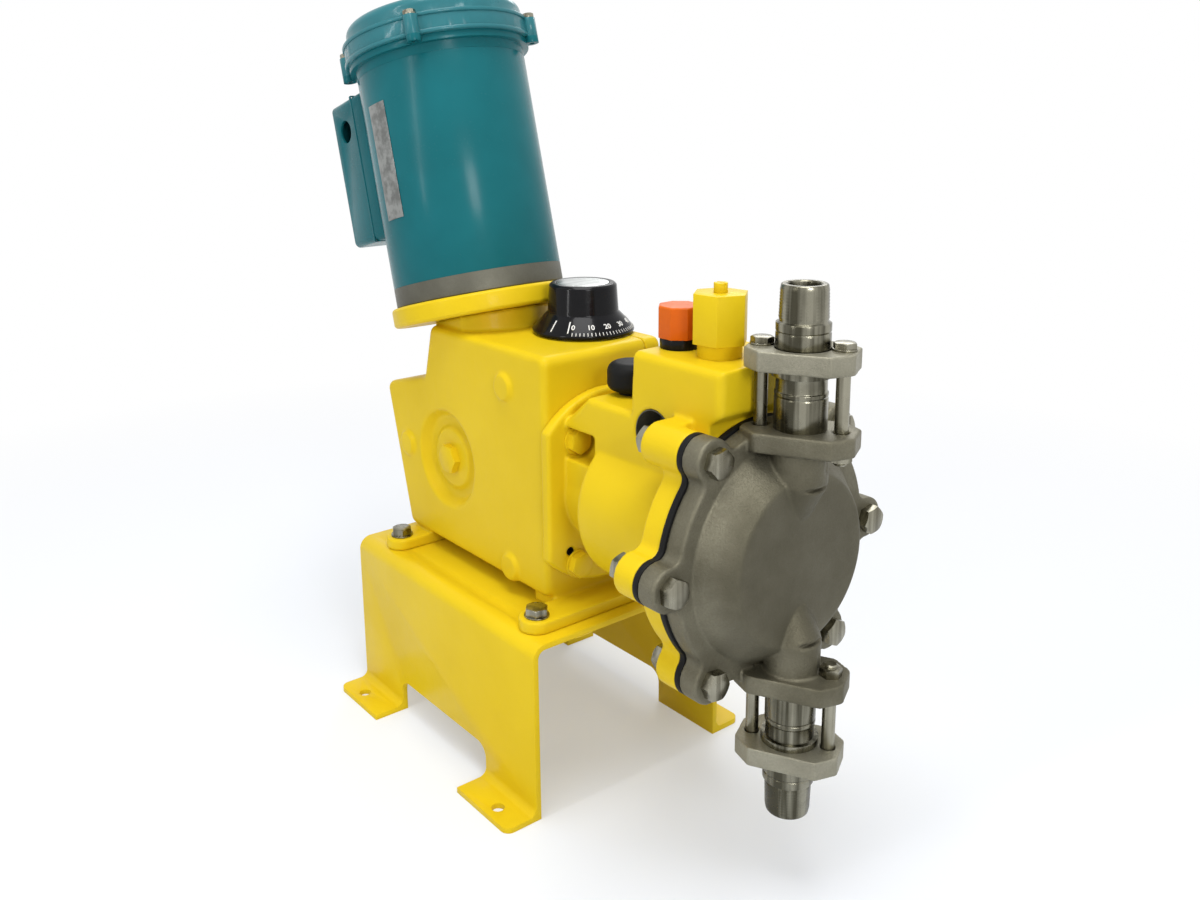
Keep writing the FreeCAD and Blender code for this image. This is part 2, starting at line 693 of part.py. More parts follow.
def make_motor_adapter():
    """Round disc on the neck that the motor's face bolts to."""
    disc = up(ADAPTER_DISC_RADIUS, -ADAPTER_DISC_THICKNESS, 0)
    disc = fillet(disc, 3.5, lambda p, w: abs(p.x * p.x + p.y * p.y - ADAPTER_DISC_RADIUS ** 2) < 1)
    disc = disc.cut(up(NECK_BORE, -ADAPTER_DISC_THICKNESS - 1, 1))
    for x, y in face_bolt_points():
        disc = disc.cut(up(FACE_BOLT_RADIUS + 0.4, -ADAPTER_DISC_THICKNESS - 1, 1, x, y))
        disc = disc.cut(up(SOCKET_RADIUS + 0.6, -ADAPTER_DISC_THICKNESS - 1, -FACE_BOLT_GRIP, x, y))
    return tilted(disc)


def make_face_bolts():
    """Socket screws, sunk in the disc, that hold the motor's face."""
    bolts = []
    seat = -FACE_BOLT_GRIP
    for x, y in face_bolt_points():
        shank = up(FACE_BOLT_RADIUS, seat - 1, END_BELL_HEIGHT - 4, x, y)
        head = up(SOCKET_RADIUS, seat - SOCKET_HEIGHT, seat, x, y)
        key = hexagon(SOCKET_RADIUS, vec(x, y, seat - SOCKET_HEIGHT - 1), vec(x, y, seat - 3))
        bolts.append(tilted(shank.fuse(head).cut(key)))
    return bolts


def make_drive_end_bell():
    bell = up(MOTOR_RADIUS, 0, END_BELL_HEIGHT)
    bell = fillet(bell, 1.5, lambda p, w: p.z < 0.1)
    bell = bell.cut(up(WORM_BEARING_RADIUS, 4, END_BELL_HEIGHT + 1))
    bell = bell.cut(up(WORM_SHAFT_RADIUS + 2, -1, 5))
    for x, y in face_bolt_points():
        bell = bell.cut(up(FACE_BOLT_RADIUS, -1, END_BELL_HEIGHT - 4, x, y))
    return tilted(bell)


def make_motor_frame():
    frame = up_tube(MOTOR_RADIUS, MOTOR_RADIUS - MOTOR_WALL, END_BELL_HEIGHT, FRAME_TOP)
    pad = box(-CONDUIT_SEAT, -MOTOR_RADIUS + 12, -24, 24, CONDUIT_LOW + 40, CONDUIT_HIGH - 40)
    frame = frame.fuse(pad.cut(up(MOTOR_RADIUS - MOTOR_WALL, 0, FRAME_TOP)))
    return tilted(frame)


def make_fan_end_bell():
    """Upper bearing plate, with a rim and four lugs that the fan cover sits on."""
    low = FRAME_TOP
    high = low + FAN_BELL_HEIGHT
    bell = up(MOTOR_RADIUS, low, high)
    bell = bell.fuse(up(FAN_RIM_RADIUS, high - FAN_RIM_HEIGHT, high))
    bell = bell.cut(up(WORM_BEARING_RADIUS, low - 1, low + WORM_BEARING_WIDTH))
    bell = bell.cut(up(WORM_SHAFT_RADIUS + 2, low, high + 1))
    for x, y in cover_lug_points():
        bell = bell.fuse(up(COVER_LUG_RADIUS, high - FAN_RIM_HEIGHT, high, x, y))
        bell = bell.cut(up(COVER_SCREW_RADIUS, low, high + 1, x, y))
    return tilted(bell.removeSplitter())


def cover_lug_points():
    return [
        (COVER_LUG_CIRCLE * math.cos(math.radians(a)), COVER_LUG_CIRCLE * math.sin(math.radians(a)))
        for a in (45, 135, 225, 315)
    ]


def make_fan_cover():
    """Cap over the fan: a lower band with four lugs and a rounded crown."""
    low = FRAME_TOP + FAN_BELL_HEIGHT
    top = low + FAN_COVER_HEIGHT
    cap = up(FAN_COVER_RADIUS, low, low + FAN_BAND_HEIGHT)
    cap = fillet(cap, 2.0, lambda p, w: p.z > low + FAN_BAND_HEIGHT - 0.1)
    crown = up(FAN_CROWN_RADIUS, low, top)
    crown = fillet(crown, 9.0, lambda p, w: p.z > top - 0.1)
    cap = cap.fuse(crown)
    for x, y in cover_lug_points():
        cap = cap.fuse(up(COVER_LUG_RADIUS, low, low + FAN_BAND_HEIGHT, x, y))
    cap = cap.cut(up(FAN_CROWN_RADIUS - FAN_COVER_WALL, low - 1, top - FAN_COVER_WALL))
    for x, y in cover_lug_points():
        cap = cap.cut(up(COVER_SCREW_RADIUS + 0.4, low - 1, low + FAN_BAND_HEIGHT + 1, x, y))
    return tilted(cap.removeSplitter())


def make_bell_bolts():
    low = FRAME_TOP + FAN_BELL_HEIGHT
    head = low + FAN_BAND_HEIGHT
    bolts = []
    for x, y in cover_lug_points():
        shank = up(COVER_SCREW_RADIUS, low - FAN_RIM_HEIGHT + 1, head + 1, x, y)
        cap = hexagon(HEX_SMALL - 4, vec(x, y, head), vec(x, y, head + HEAD_SMALL - 2))
        bolts.append(tilted(shank.fuse(cap)))
    return bolts


def make_stator_core():
    core = up_tube(MOTOR_RADIUS - MOTOR_WALL, STATOR_BORE, STATOR_START, STATOR_END)
    return tilted(core)


def make_windings():
    """End turns of the copper windings at both ends of the core."""
    rings = []
    for start in (STATOR_START - WINDING_HEIGHT, STATOR_END):
        end = start + WINDING_HEIGHT
        ring = up_tube(MOTOR_RADIUS - MOTOR_WALL - 6, STATOR_BORE + 4, start, end)
        ring = fillet(ring, 5.0, lambda p, w: abs(p.z - start) < 0.1 or abs(p.z - end) < 0.1)
        rings.append(tilted(ring))
    return rings


def make_rotor_core():
    core = up_tube(STATOR_BORE - ROTOR_GAP, WORM_SHAFT_RADIUS + 2, STATOR_START, STATOR_END)
    return tilted(core)


def make_motor_shaft():
    fan_seat = FRAME_TOP + FAN_BELL_HEIGHT
    shaft = up(MOTOR_SHAFT_RADIUS, SHAFT_END, 5)
    shaft = shaft.fuse(up(WORM_SHAFT_RADIUS, 4, fan_seat + 15))
    shaft = shaft.fuse(up(WORM_SHAFT_RADIUS + 2, END_BELL_HEIGHT, FRAME_TOP - 2))
    return tilted(shaft.removeSplitter())


def make_motor_bearings():
    low = up_tube(WORM_BEARING_RADIUS, WORM_SHAFT_RADIUS, 4 + BOLT_GAP, END_BELL_HEIGHT - BOLT_GAP)
    high = up_tube(WORM_BEARING_RADIUS, WORM_SHAFT_RADIUS, FRAME_TOP, FRAME_TOP + WORM_BEARING_WIDTH)
    return [tilted(low), tilted(high)]


def make_fan():
    """Hub with six straight blades on the shaft's upper end."""
    low = FRAME_TOP + FAN_BELL_HEIGHT + FAN_CLEARANCE
    half = FAN_BLADE_THICKNESS / 2
    fan = up_tube(FAN_HUB_RADIUS, WORM_SHAFT_RADIUS, low, low + FAN_HUB_HEIGHT)
    fan = fan.fuse(up_tube(FAN_RADIUS - 2, FAN_HUB_RADIUS - 1, low, low + 2))
    for i in range(6):
        blade = box(FAN_HUB_RADIUS - 1, FAN_RADIUS, -half, half, low, low + FAN_BLADE_HEIGHT)
        blade.rotate(vec(0, 0, 0), vec(0, 0, 1), 60.0 * i)
        fan = fan.fuse(blade)
    return tilted(fan.removeSplitter())


def make_conduit_box():
    """Wiring box on the motor's rear side, with an open knock-out."""
    wide = CONDUIT_HALF_WIDTH
    shell = box(-CONDUIT_DEPTH, -CONDUIT_SEAT, -wide, wide, CONDUIT_LOW, CONDUIT_HIGH)
    shell = fillet(shell, 6.0, lambda p, w: abs(w.x) > 0.9)
    hollow = box(
        -CONDUIT_DEPTH + CONDUIT_WALL,
        -CONDUIT_SEAT - CONDUIT_WALL,
        -wide + CONDUIT_WALL,
        wide - CONDUIT_WALL,
        CONDUIT_LOW + CONDUIT_WALL,
        CONDUIT_HIGH - CONDUIT_WALL,
    )
    shell = shell.cut(hollow)
    shell = shell.cut(up(MOTOR_RADIUS + BOLT_GAP / 2, 0, CONDUIT_HIGH + 1))
    hole = rod(
        KNOCKOUT_RADIUS,
        vec(-KNOCKOUT_OFFSET, -wide - 1, KNOCKOUT_HEIGHT),
        vec(-KNOCKOUT_OFFSET, -wide + CONDUIT_WALL + 1, KNOCKOUT_HEIGHT),
    )
    return tilted(shell.cut(hole))


def make_nameplate():
    """Bare curved plate on the motor's near side."""
    low = MOTOR_RADIUS
    plate = up_tube(low + NAMEPLATE_THICKNESS, low, NAMEPLATE_LOW, NAMEPLATE_HIGH)
    half = math.radians(NAMEPLATE_ANGLE / 2)
    reach = low + 5
    corners = [vec(0, 0, 0), vec(-reach * math.tan(half), -reach, 0), vec(reach * math.tan(half), -reach, 0)]
    corners.append(corners[0])
    wedge = Part.Face(Part.makePolygon(corners)).extrude(vec(0, 0, FRAME_TOP))
    wedge.rotate(vec(0, 0, 0), vec(0, 0, 1), 4.0)
    return tilted(plate.common(wedge))


def make_coupling():
    """Two-jaw coupling between the motor shaft and the worm shaft."""
    middle = SHAFT_END - 2
    body = up(COUPLING_RADIUS, middle - COUPLING_LENGTH / 2, middle + COUPLING_LENGTH / 2)
    groove = up_tube(COUPLING_RADIUS + 1, COUPLING_RADIUS - 4, middle - 3, middle + 3)
    body = body.cut(groove)
    body = body.cut(up(MOTOR_SHAFT_RADIUS, SHAFT_END, 0))
    body = body.cut(up(MOTOR_SHAFT_RADIUS, middle - COUPLING_LENGTH, middle - 2))
    return tilted(body)


def make_worm():
    """Single-start worm: a trapezoid thread swept along a helix on its shaft."""
    pitch = math.pi * GEAR_MODULE
    root = WORM_PITCH_RADIUS - TOOTH_DEDENDUM + 0.8
    tip = WORM_PITCH_RADIUS + TOOTH_ADDENDUM
    slope = math.tan(math.radians(PRESSURE_ANGLE))
    half = pitch / 4 - WORM_BACKLASH / 2
    middle = -WORM_DROP
    turns_height = WORM_LENGTH + pitch
    helix = Part.makeHelix(pitch, turns_height, WORM_PITCH_RADIUS)
    sunk = root - 0.6
    corners = [
        vec(sunk, 0, -half - (WORM_PITCH_RADIUS - sunk) * slope),
        vec(tip, 0, -half + TOOTH_ADDENDUM * slope),
        vec(tip, 0, half - TOOTH_ADDENDUM * slope),
        vec(sunk, 0, half + (WORM_PITCH_RADIUS - sunk) * slope),
    ]
    corners.append(corners[0])
    profile = Part.makePolygon(corners)
    thread = Part.Wire(helix.Edges).makePipeShell([profile], True, True)
    thread.translate(vec(0, 0, middle - WORM_LENGTH / 2 - pitch / 2))
    turn = thread_phase(pitch)
    thread.rotate(vec(0, 0, 0), vec(0, 0, 1), turn)
    low = middle - WORM_LENGTH / 2
    high = middle + WORM_LENGTH / 2
    core = up(root, low, high)
    worm = core.fuse(thread.common(up(tip + 1, low, high)))
    bearing_low = middle - WORM_BEARING_OFFSET - WORM_BEARING_WIDTH
    shaft_top = SHAFT_END - 4
    worm = worm.fuse(up(WORM_SHAFT_RADIUS, bearing_low, middle + WORM_BEARING_OFFSET + WORM_BEARING_WIDTH))
    worm = worm.fuse(up(MOTOR_SHAFT_RADIUS, middle, shaft_top))
    return tilted(worm.removeSplitter())


def thread_phase(pitch):
    """Turn that puts a thread gap at the wheel, so that the two mesh at rest."""
    start = -WORM_LENGTH / 2 - pitch / 2
    return 360.0 * (start / pitch - 0.5)


def make_worm_bearings():
    middle = -WORM_DROP
    rings = []
    for start in (middle + WORM_BEARING_OFFSET, middle - WORM_BEARING_OFFSET - WORM_BEARING_WIDTH):
        ring = up_tube(WORM_BEARING_RADIUS, WORM_SHAFT_RADIUS, start, start + WORM_BEARING_WIDTH)
        rings.append(tilted(ring))
    return rings


def wheel_outline(turn):
    """Closed outline of the wheel in X and Y, with three points on each tooth flank."""
    pitch_angle = 360.0 / GEAR_TEETH
    slope = math.tan(math.radians(PRESSURE_ANGLE))
    quarter = math.pi * GEAR_MODULE / 4 - WHEEL_BACKLASH / 2
    heights = (-TOOTH_DEDENDUM, 0.0, TOOTH_ADDENDUM)
    flank = []
    for height in heights:
        half = quarter - height * slope - height * height * 0.012
        radius = GEAR_PITCH_RADIUS + height
        flank.append((radius, math.degrees(half / radius)))
    points = []
    for i in range(GEAR_TEETH):
        middle = turn + pitch_angle * i
        for radius, half_angle in flank:
            points.append((radius, middle - half_angle))
        for radius, half_angle in reversed(flank):
            points.append((radius, middle + half_angle))
    corners = [
        vec(r * math.cos(math.radians(a)), r * math.sin(math.radians(a)), 0) for r, a in points
    ]
    corners.append(corners[0])
    return Part.makePolygon(corners)


def make_worm_wheel():
    """Helical wheel whose teeth slant with the worm's thread."""
    lead = math.pi * GEAR_MODULE / (2 * math.pi * WORM_PITCH_RADIUS)
    twist = math.degrees(GEAR_HALF_WIDTH * lead / GEAR_PITCH_RADIUS)
    low = wheel_outline(-twist)
    low.translate(vec(0, 0, -GEAR_HALF_WIDTH))
    high = wheel_outline(twist)
    high.translate(vec(0, 0, GEAR_HALF_WIDTH))
    wheel = Part.makeLoft([low, high], True, True)
    wheel = wheel.fuse(up(GEAR_HUB_RADIUS, -GEAR_HUB_HALF_WIDTH, GEAR_HUB_HALF_WIDTH))
    wheel = wheel.cut(up(CRANK_SHAFT_RADIUS, -GEAR_HUB_HALF_WIDTH - 1, GEAR_HUB_HALF_WIDTH + 1))
    for i in range(5):
        angle = math.radians(72.0 * i)
        x = WHEEL_HOLE_CIRCLE * math.cos(angle)
        y = WHEEL_HOLE_CIRCLE * math.sin(angle)
        wheel = wheel.cut(up(WHEEL_HOLE_RADIUS, -GEAR_HALF_WIDTH - 1, GEAR_HALF_WIDTH + 1, x, y))
    wheel.rotate(vec(0, 0, 0), vec(1, 0, 0), 90.0)
    wheel.rotate(vec(0, 0, 0), vec(0, 1, 0), -TILT)
    wheel.translate(vec(CRANK_X, 0, PUMP_Z))
    return wheel


def along_y(radius, y0, y1, x=CRANK_X, z=PUMP_Z):
    return rod(radius, vec(x, y0, z), vec(x, y1, z))


def make_crankshaft():
    """Shaft with two eccentric sheaves, one each side of the wheel."""
    end = CRANK_BEARING_START + CRANK_BEARING_WIDTH
    shaft = along_y(CRANK_SHAFT_RADIUS, -end, end)
    for side in (-1, 1):
        start = side * SHEAVE_START
        stop = side * (SHEAVE_START + SHEAVE_WIDTH)
        shaft = shaft.fuse(along_y(SHEAVE_RADIUS, start, stop, SHEAVE_X))
        collar_start = side * GEAR_HUB_HALF_WIDTH
        collar_end = side * CRANK_BEARING_START
        shaft = shaft.fuse(along_y(CRANK_SHAFT_RADIUS + 3, collar_start, collar_end))
    return shaft.removeSplitter()


def make_crank_bearings():
    rings = []
    for side in (-1, 1):
        start = vec(CRANK_X, side * CRANK_BEARING_START, PUMP_Z)
        end = vec(CRANK_X, side * (CRANK_BEARING_START + CRANK_BEARING_WIDTH), PUMP_Z)
        rings.append(tube(CRANK_BEARING_RADIUS, CRANK_SHAFT_RADIUS, start, end))
    return rings


def make_connecting_rod():
    """Forked rod: two straps on the sheaves, a bridge past the wheel, and one small eye."""
    strap_low = SHEAVE_START + 0.5
    strap_high = SHEAVE_START + SHEAVE_WIDTH - 0.5
    bridge_x = SHEAVE_X + BRIDGE_START
    bridge_end = bridge_x + BRIDGE_THICKNESS
    low_z = PUMP_Z - ARM_HALF_HEIGHT
    high_z = PUMP_Z + ARM_HALF_HEIGHT
    body = box(bridge_x, bridge_end, -strap_high, strap_high, low_z, high_z)
    body = fillet(body, 3.0, lambda p, w: abs(w.y) > 0.9)
    for side in (-1, 1):
        y0, y1 = sorted((side * strap_low, side * strap_high))
        body = body.fuse(along_y(STRAP_RADIUS, y0, y1, SHEAVE_X))
        body = body.fuse(box(SHEAVE_X + 20, bridge_end - 4, y0, y1, low_z, high_z))
        body = body.cut(along_y(SHEAVE_RADIUS + RUNNING_FIT, y0 - 0.2, y1 + 0.2, SHEAVE_X))
    shank = box(
        bridge_end - 1,
        EYE_X,
        -SHANK_HALF_WIDTH,
        SHANK_HALF_WIDTH,
        PUMP_Z - SHANK_HALF_HEIGHT,
        PUMP_Z + SHANK_HALF_HEIGHT,
    )
    body = body.fuse(shank)
    body = body.fuse(along_y(EYE_RADIUS, -SHANK_HALF_WIDTH, SHANK_HALF_WIDTH, EYE_X))
    body = body.cut(along_y(PIN_RADIUS, -SHANK_HALF_WIDTH - 1, SHANK_HALF_WIDTH + 1, EYE_X))
    return body.removeSplitter()


def make_wrist_pin():
    return along_y(PIN_RADIUS, -PIN_HALF_LENGTH, PIN_HALF_LENGTH, EYE_X)


def make_crosshead():
    """Hollow crosshead that takes the rod's eye, with the plunger in front."""
    body = along_x(CROSSHEAD_RADIUS, CROSSHEAD_REAR, CROSSHEAD_FRONT)
    body = body.cut(along_x(CROSSHEAD_RADIUS - CROSSHEAD_WALL, CROSSHEAD_REAR - 1, CROSSHEAD_HOLLOW_END))
    plunger = along_x(PLUNGER_RADIUS, CROSSHEAD_FRONT - 1, CROSSHEAD_FRONT + PLUNGER_LENGTH)
    plunger = fillet(plunger, 1.5, lambda p, w: p.x > CROSSHEAD_FRONT + PLUNGER_LENGTH - 0.1)
    return body.fuse(plunger).removeSplitter()


def make_liner():
    start = vec(LINER_START, 0, PUMP_Z)
    end = vec(LINER_END, 0, PUMP_Z)
    return tube(LINER_RADIUS, PLUNGER_RADIUS + RUNNING_FIT, start, end)


def make_plunger_seal():
    start = vec(LINER_END, 0, PUMP_Z)
    end = vec(LINER_END + SEAL_THICKNESS, 0, PUMP_Z)
    return tube(LINER_RADIUS, PLUNGER_RADIUS + RUNNING_FIT, start, end)


def ear_plate(x0, x1, rim, ear):
    """Round plate along X with six ears on its rim."""
    plate = along_x(rim, x0, x1)
    ears = [along_x(ear, x0, x1, y, z) for y, z in ring_points(EAR_CIRCLE, EAR_ANGLES)]
    plate = plate.fuse(ears).removeSplitter()
    return fillet(
        plate,
        8.0,
        lambda p, w: abs(w.x) > 0.9 and rim - 2 < math.hypot(p.y, p.z - PUMP_Z) < rim + 2,
    )


def cut_ear_holes(plate, x0, x1, radius):
    for y, z in ring_points(EAR_CIRCLE, EAR_ANGLES):
        plate = plate.cut(along_x(radius, x0 - 1, x1 + 1, y, z))
    return plate


def make_hydraulic_body():
    """Casting with the plunger bore, the oil reservoir and the eared front flange."""
    flange_front = BOX_FRONT + REAR_FLANGE_THICKNESS
    flange = along_x(REAR_FLANGE_RADIUS, BOX_FRONT, flange_front)
    half = REAR_FLANGE_HALF_WIDTH
    flange = flange.common(box(BOX_FRONT, flange_front, -half, half, 0, RESERVOIR_TOP))
    flange = fillet(flange, 3.0, lambda p, w: p.x > flange_front - 0.1)
    neck = along_x(BODY_NECK_RADIUS, flange_front - 1, BARREL_START + 10)
    barrel = along_x(BARREL_RADIUS, BARREL_START, FRONT_FLANGE_BACK + 1)
    barrel = fillet(barrel, 8.0, lambda p, w: p.x < BARREL_START + 0.1)
    wide = RESERVOIR_HALF_WIDTH
    shoulder_outline = [
        (flange_front - 1, PUMP_Z),
        (flange_front - 1, SHOULDER_TOP - SHOULDER_SLOPE),
        (flange_front + SHOULDER_SLOPE + 3, SHOULDER_TOP),
        (FRONT_FLANGE_BACK, SHOULDER_TOP),
        (FRONT_FLANGE_BACK, PUMP_Z),
    ]
    shoulder = prism_xz(shoulder_outline, -wide, wide)
    ridge = SHOULDER_TOP - SHOULDER_SLOPE + 1
    shoulder = fillet(shoulder, 5.0, lambda p, w: p.z > ridge and abs(p.y) > wide - 1 and abs(w.x) > 0.5)
    tank_outline = [
        (RESERVOIR_BACK - 6, PUMP_Z + 20),
        (RESERVOIR_BACK, RESERVOIR_TOP),
        (RESERVOIR_FRONT, RESERVOIR_TOP),
        (RESERVOIR_FRONT, RESERVOIR_UNDERSIDE),
        (FLANGE_FACE - 3, RESERVOIR_UNDERSIDE - 8),
        (FLANGE_FACE - 3, PUMP_Z + 20),
    ]
    tank = prism_xz(tank_outline, -wide, wide)
    lip = RESERVOIR_UNDERSIDE + 1
    tank = fillet(tank, 6.0, lambda p, w: p.z > lip and abs(w.y) < 0.5 and abs(p.y) > wide - 1)
    plate = ear_plate(FRONT_FLANGE_BACK, FLANGE_FACE, RIM_RADIUS, EAR_RADIUS)
    body = flange.fuse([neck, barrel, shoulder, tank, plate]).removeSplitter()
    for side in (-1, 1):
        low = vec(POCKET_X, side * (wide - POCKET_DEPTH), PUMP_Z + POCKET_RISE)
        high = vec(POCKET_X, side * (wide + POCKET_RADIUS), PUMP_Z + POCKET_RISE)
        body = body.cut(rod(POCKET_RADIUS, low, high))
    for y, z in rear_bolt_places():
        spotface = along_x(SPOTFACE_RADIUS, flange_front, flange_front + SPOTFACE_DEPTH, y, z)
        hole = along_x(REAR_BOLT_RADIUS + 0.4, BOX_FRONT - 1, flange_front + 1, y, z)
        body = body.cut(spotface).cut(hole)
    boss_back = FRONT_FLANGE_BACK - EAR_BOSS_LENGTH
    for y, z in ring_points(EAR_CIRCLE, EAR_BOSS_ANGLES):
        body = body.fuse(along_x(EAR_RADIUS, boss_back, FRONT_FLANGE_BACK + 1, y, z))
        near, far = sorted((math.copysign(wide - 5, y), y))
        body = body.fuse(box(boss_back, FRONT_FLANGE_BACK + 1, near, far, z - EAR_RADIUS, z + EAR_RADIUS))
    body = cut_ear_holes(body, boss_back, FLANGE_FACE, HEAD_HOLE_RADIUS)
    drain_z = PUMP_Z - DRAIN_DROP
    body = body.cut(along_x(DRAIN_RADIUS, flange_front - 8, flange_front + 1, DRAIN_Y, drain_z))
    body = body.fuse(along_x(SPIGOT_RADIUS, BOX_FRONT - SPIGOT_LENGTH, BOX_FRONT + 1))
    return cut_oil_space(body).removeSplitter()


def cut_oil_space(body):
    """Bores for crosshead, liner, oil and diaphragm, and the hollow reservoir."""
    body = body.cut(along_x(CROSSHEAD_RADIUS + RUNNING_FIT, BOX_FRONT - SPIGOT_LENGTH - 1, GUIDE_END))
    body = body.cut(along_x(PLUNGER_RADIUS + 1, GUIDE_END - 1, LINER_START + 1))
    body = body.cut(along_x(LINER_RADIUS, LINER_START, FLANGE_FACE - 20))
    dish_back = FLANGE_FACE - 22
    plate_back = FLANGE_FACE - DIAPHRAGM_THICKNESS - CONTOUR_GAP - CONTOUR_THICKNESS
    dish = cone(OIL_BORE, DISH_RADIUS, vec(dish_back, 0, PUMP_Z), vec(plate_back, 0, PUMP_Z))
    body = body.cut(dish)
    body = body.cut(along_x(CONTOUR_RADIUS, plate_back, FLANGE_FACE - DIAPHRAGM_THICKNESS))
    body = body.cut(along_x(DIAPHRAGM_RADIUS, FLANGE_FACE - DIAPHRAGM_THICKNESS, FLANGE_FACE + 1))
    wide = RESERVOIR_HALF_WIDTH - RESERVOIR_WALL - 8
    tank_floor = RESERVOIR_UNDERSIDE - 6
    roof = RESERVOIR_TOP - RESERVOIR_WALL
    front = FRONT_FLANGE_BACK - RESERVOIR_WALL
    body = body.cut(box(RESERVOIR_BACK + RESERVOIR_WALL, front, -wide, wide, tank_floor, roof))
    body = body.cut(up(FEED_RADIUS, PUMP_Z, tank_floor + 1, LINER_END + 10))
    body = body.cut(up(FILLER_THREAD_RADIUS, roof - 1, RESERVOIR_TOP + 1, FILLER_X, FILLER_Y))
    return body.cut(up(RELIEF_BORE, roof - 1, RESERVOIR_TOP + 1, RELIEF_X, RELIEF_Y))


def make_rear_bolts():
    bolts = []
    flange_front = BOX_FRONT + REAR_FLANGE_THICKNESS
    for y, z in rear_bolt_places():
        shank = along_x(REAR_BOLT_RADIUS, BOX_FRONT - BOX_WALL, flange_front + 1, y, z)
        head = hexagon(HEX_LARGE, vec(flange_front, y, z), vec(flange_front + HEAD_LARGE, y, z))
        bolts.append(shank.fuse(head))
    return bolts


def make_contour_plate():
    """Drilled plate that stops the diaphragm's backward travel."""
    back = FLANGE_FACE - DIAPHRAGM_THICKNESS - CONTOUR_GAP - CONTOUR_THICKNESS
    plate = along_x(CONTOUR_RADIUS, back, back + CONTOUR_THICKNESS)
    rim = along_x(CONTOUR_RADIUS, back, FLANGE_FACE - DIAPHRAGM_THICKNESS)
    rim = rim.cut(along_x(DISH_RADIUS, back - 1, FLANGE_FACE))
    plate = plate.fuse(rim)
    for y, z in ring_points(20.0, range(0, 360, 60)) + ring_points(44.0, range(0, 360, 30)):
        plate = plate.cut(along_x(3.5, back - 1, back + CONTOUR_THICKNESS + 1, y, z))
    return plate.removeSplitter()


def make_diaphragm():
    """Flexible disc, clamped at its rim, with a round opening for its middle plate."""
    disc = along_x(DIAPHRAGM_RADIUS, FLANGE_FACE - DIAPHRAGM_THICKNESS, FLANGE_FACE)
    return disc.cut(along_x(INSERT_RADIUS, FLANGE_FACE - DIAPHRAGM_THICKNESS - 1, FLANGE_FACE + 1))


def make_diaphragm_insert():
    return along_x(INSERT_RADIUS, FLANGE_FACE - DIAPHRAGM_THICKNESS, FLANGE_FACE)


def make_clamp_ring():
    """Dark ring between the two flanges, following their ears."""
    plate = ear_plate(FLANGE_FACE, RING_FRONT, RIM_RADIUS + RING_OVERHANG, EAR_RADIUS)
    plate = cut_ear_holes(plate, FLANGE_FACE, RING_FRONT, HEAD_HOLE_RADIUS)
    return plate.cut(along_x(DISH_RADIUS, FLANGE_FACE - 1, RING_FRONT + 1))


def valve_side(sign, offset):
    """Height of a place on the discharge side (sign 1) or the suction side (-1)."""
    return PUMP_Z + sign * offset


def valve_rod(radius, sign, start, end, x=VALVE_X, y=0.0):
    low, high = sorted((valve_side(sign, start), valve_side(sign, end)))
    return up(radius, low, high, x, y)


def tie_places():
    turn = math.radians(VALVE_TURN)
    dx = TIE_SPACING * math.cos(turn)
    dy = TIE_SPACING * math.sin(turn)
    return [(VALVE_X - dx, -dy), (VALVE_X + dx, dy)]


def valve_plate(sign, start, thickness, long):
    """Two-bolt plate with chamfered ends, turned about the valve axis."""
    low, high = sorted((valve_side(sign, start), valve_side(sign, start + thickness)))
    wide = PLATE_HALF_WIDTH
    cut = PLATE_CORNER
    outline = [
        (long, -wide + cut),
        (long, wide - cut),
        (long - cut, wide),
        (-long + cut, wide),
        (-long, wide - cut),
        (-long, -wide + cut),
        (-long + cut, -wide),
        (long - cut, -wide),
        (long, -wide + cut),
    ]
    corners = [vec(x, y, low) for x, y in outline]
    plate = Part.Face(Part.makePolygon(corners)).extrude(vec(0, 0, high - low))
    plate = fillet(plate, 3.0, lambda p, w: abs(w.z) > 0.9)
    plate.rotate(vec(0, 0, 0), vec(0, 0, 1), VALVE_TURN)
    plate.translate(vec(VALVE_X, 0, 0))
    return plate


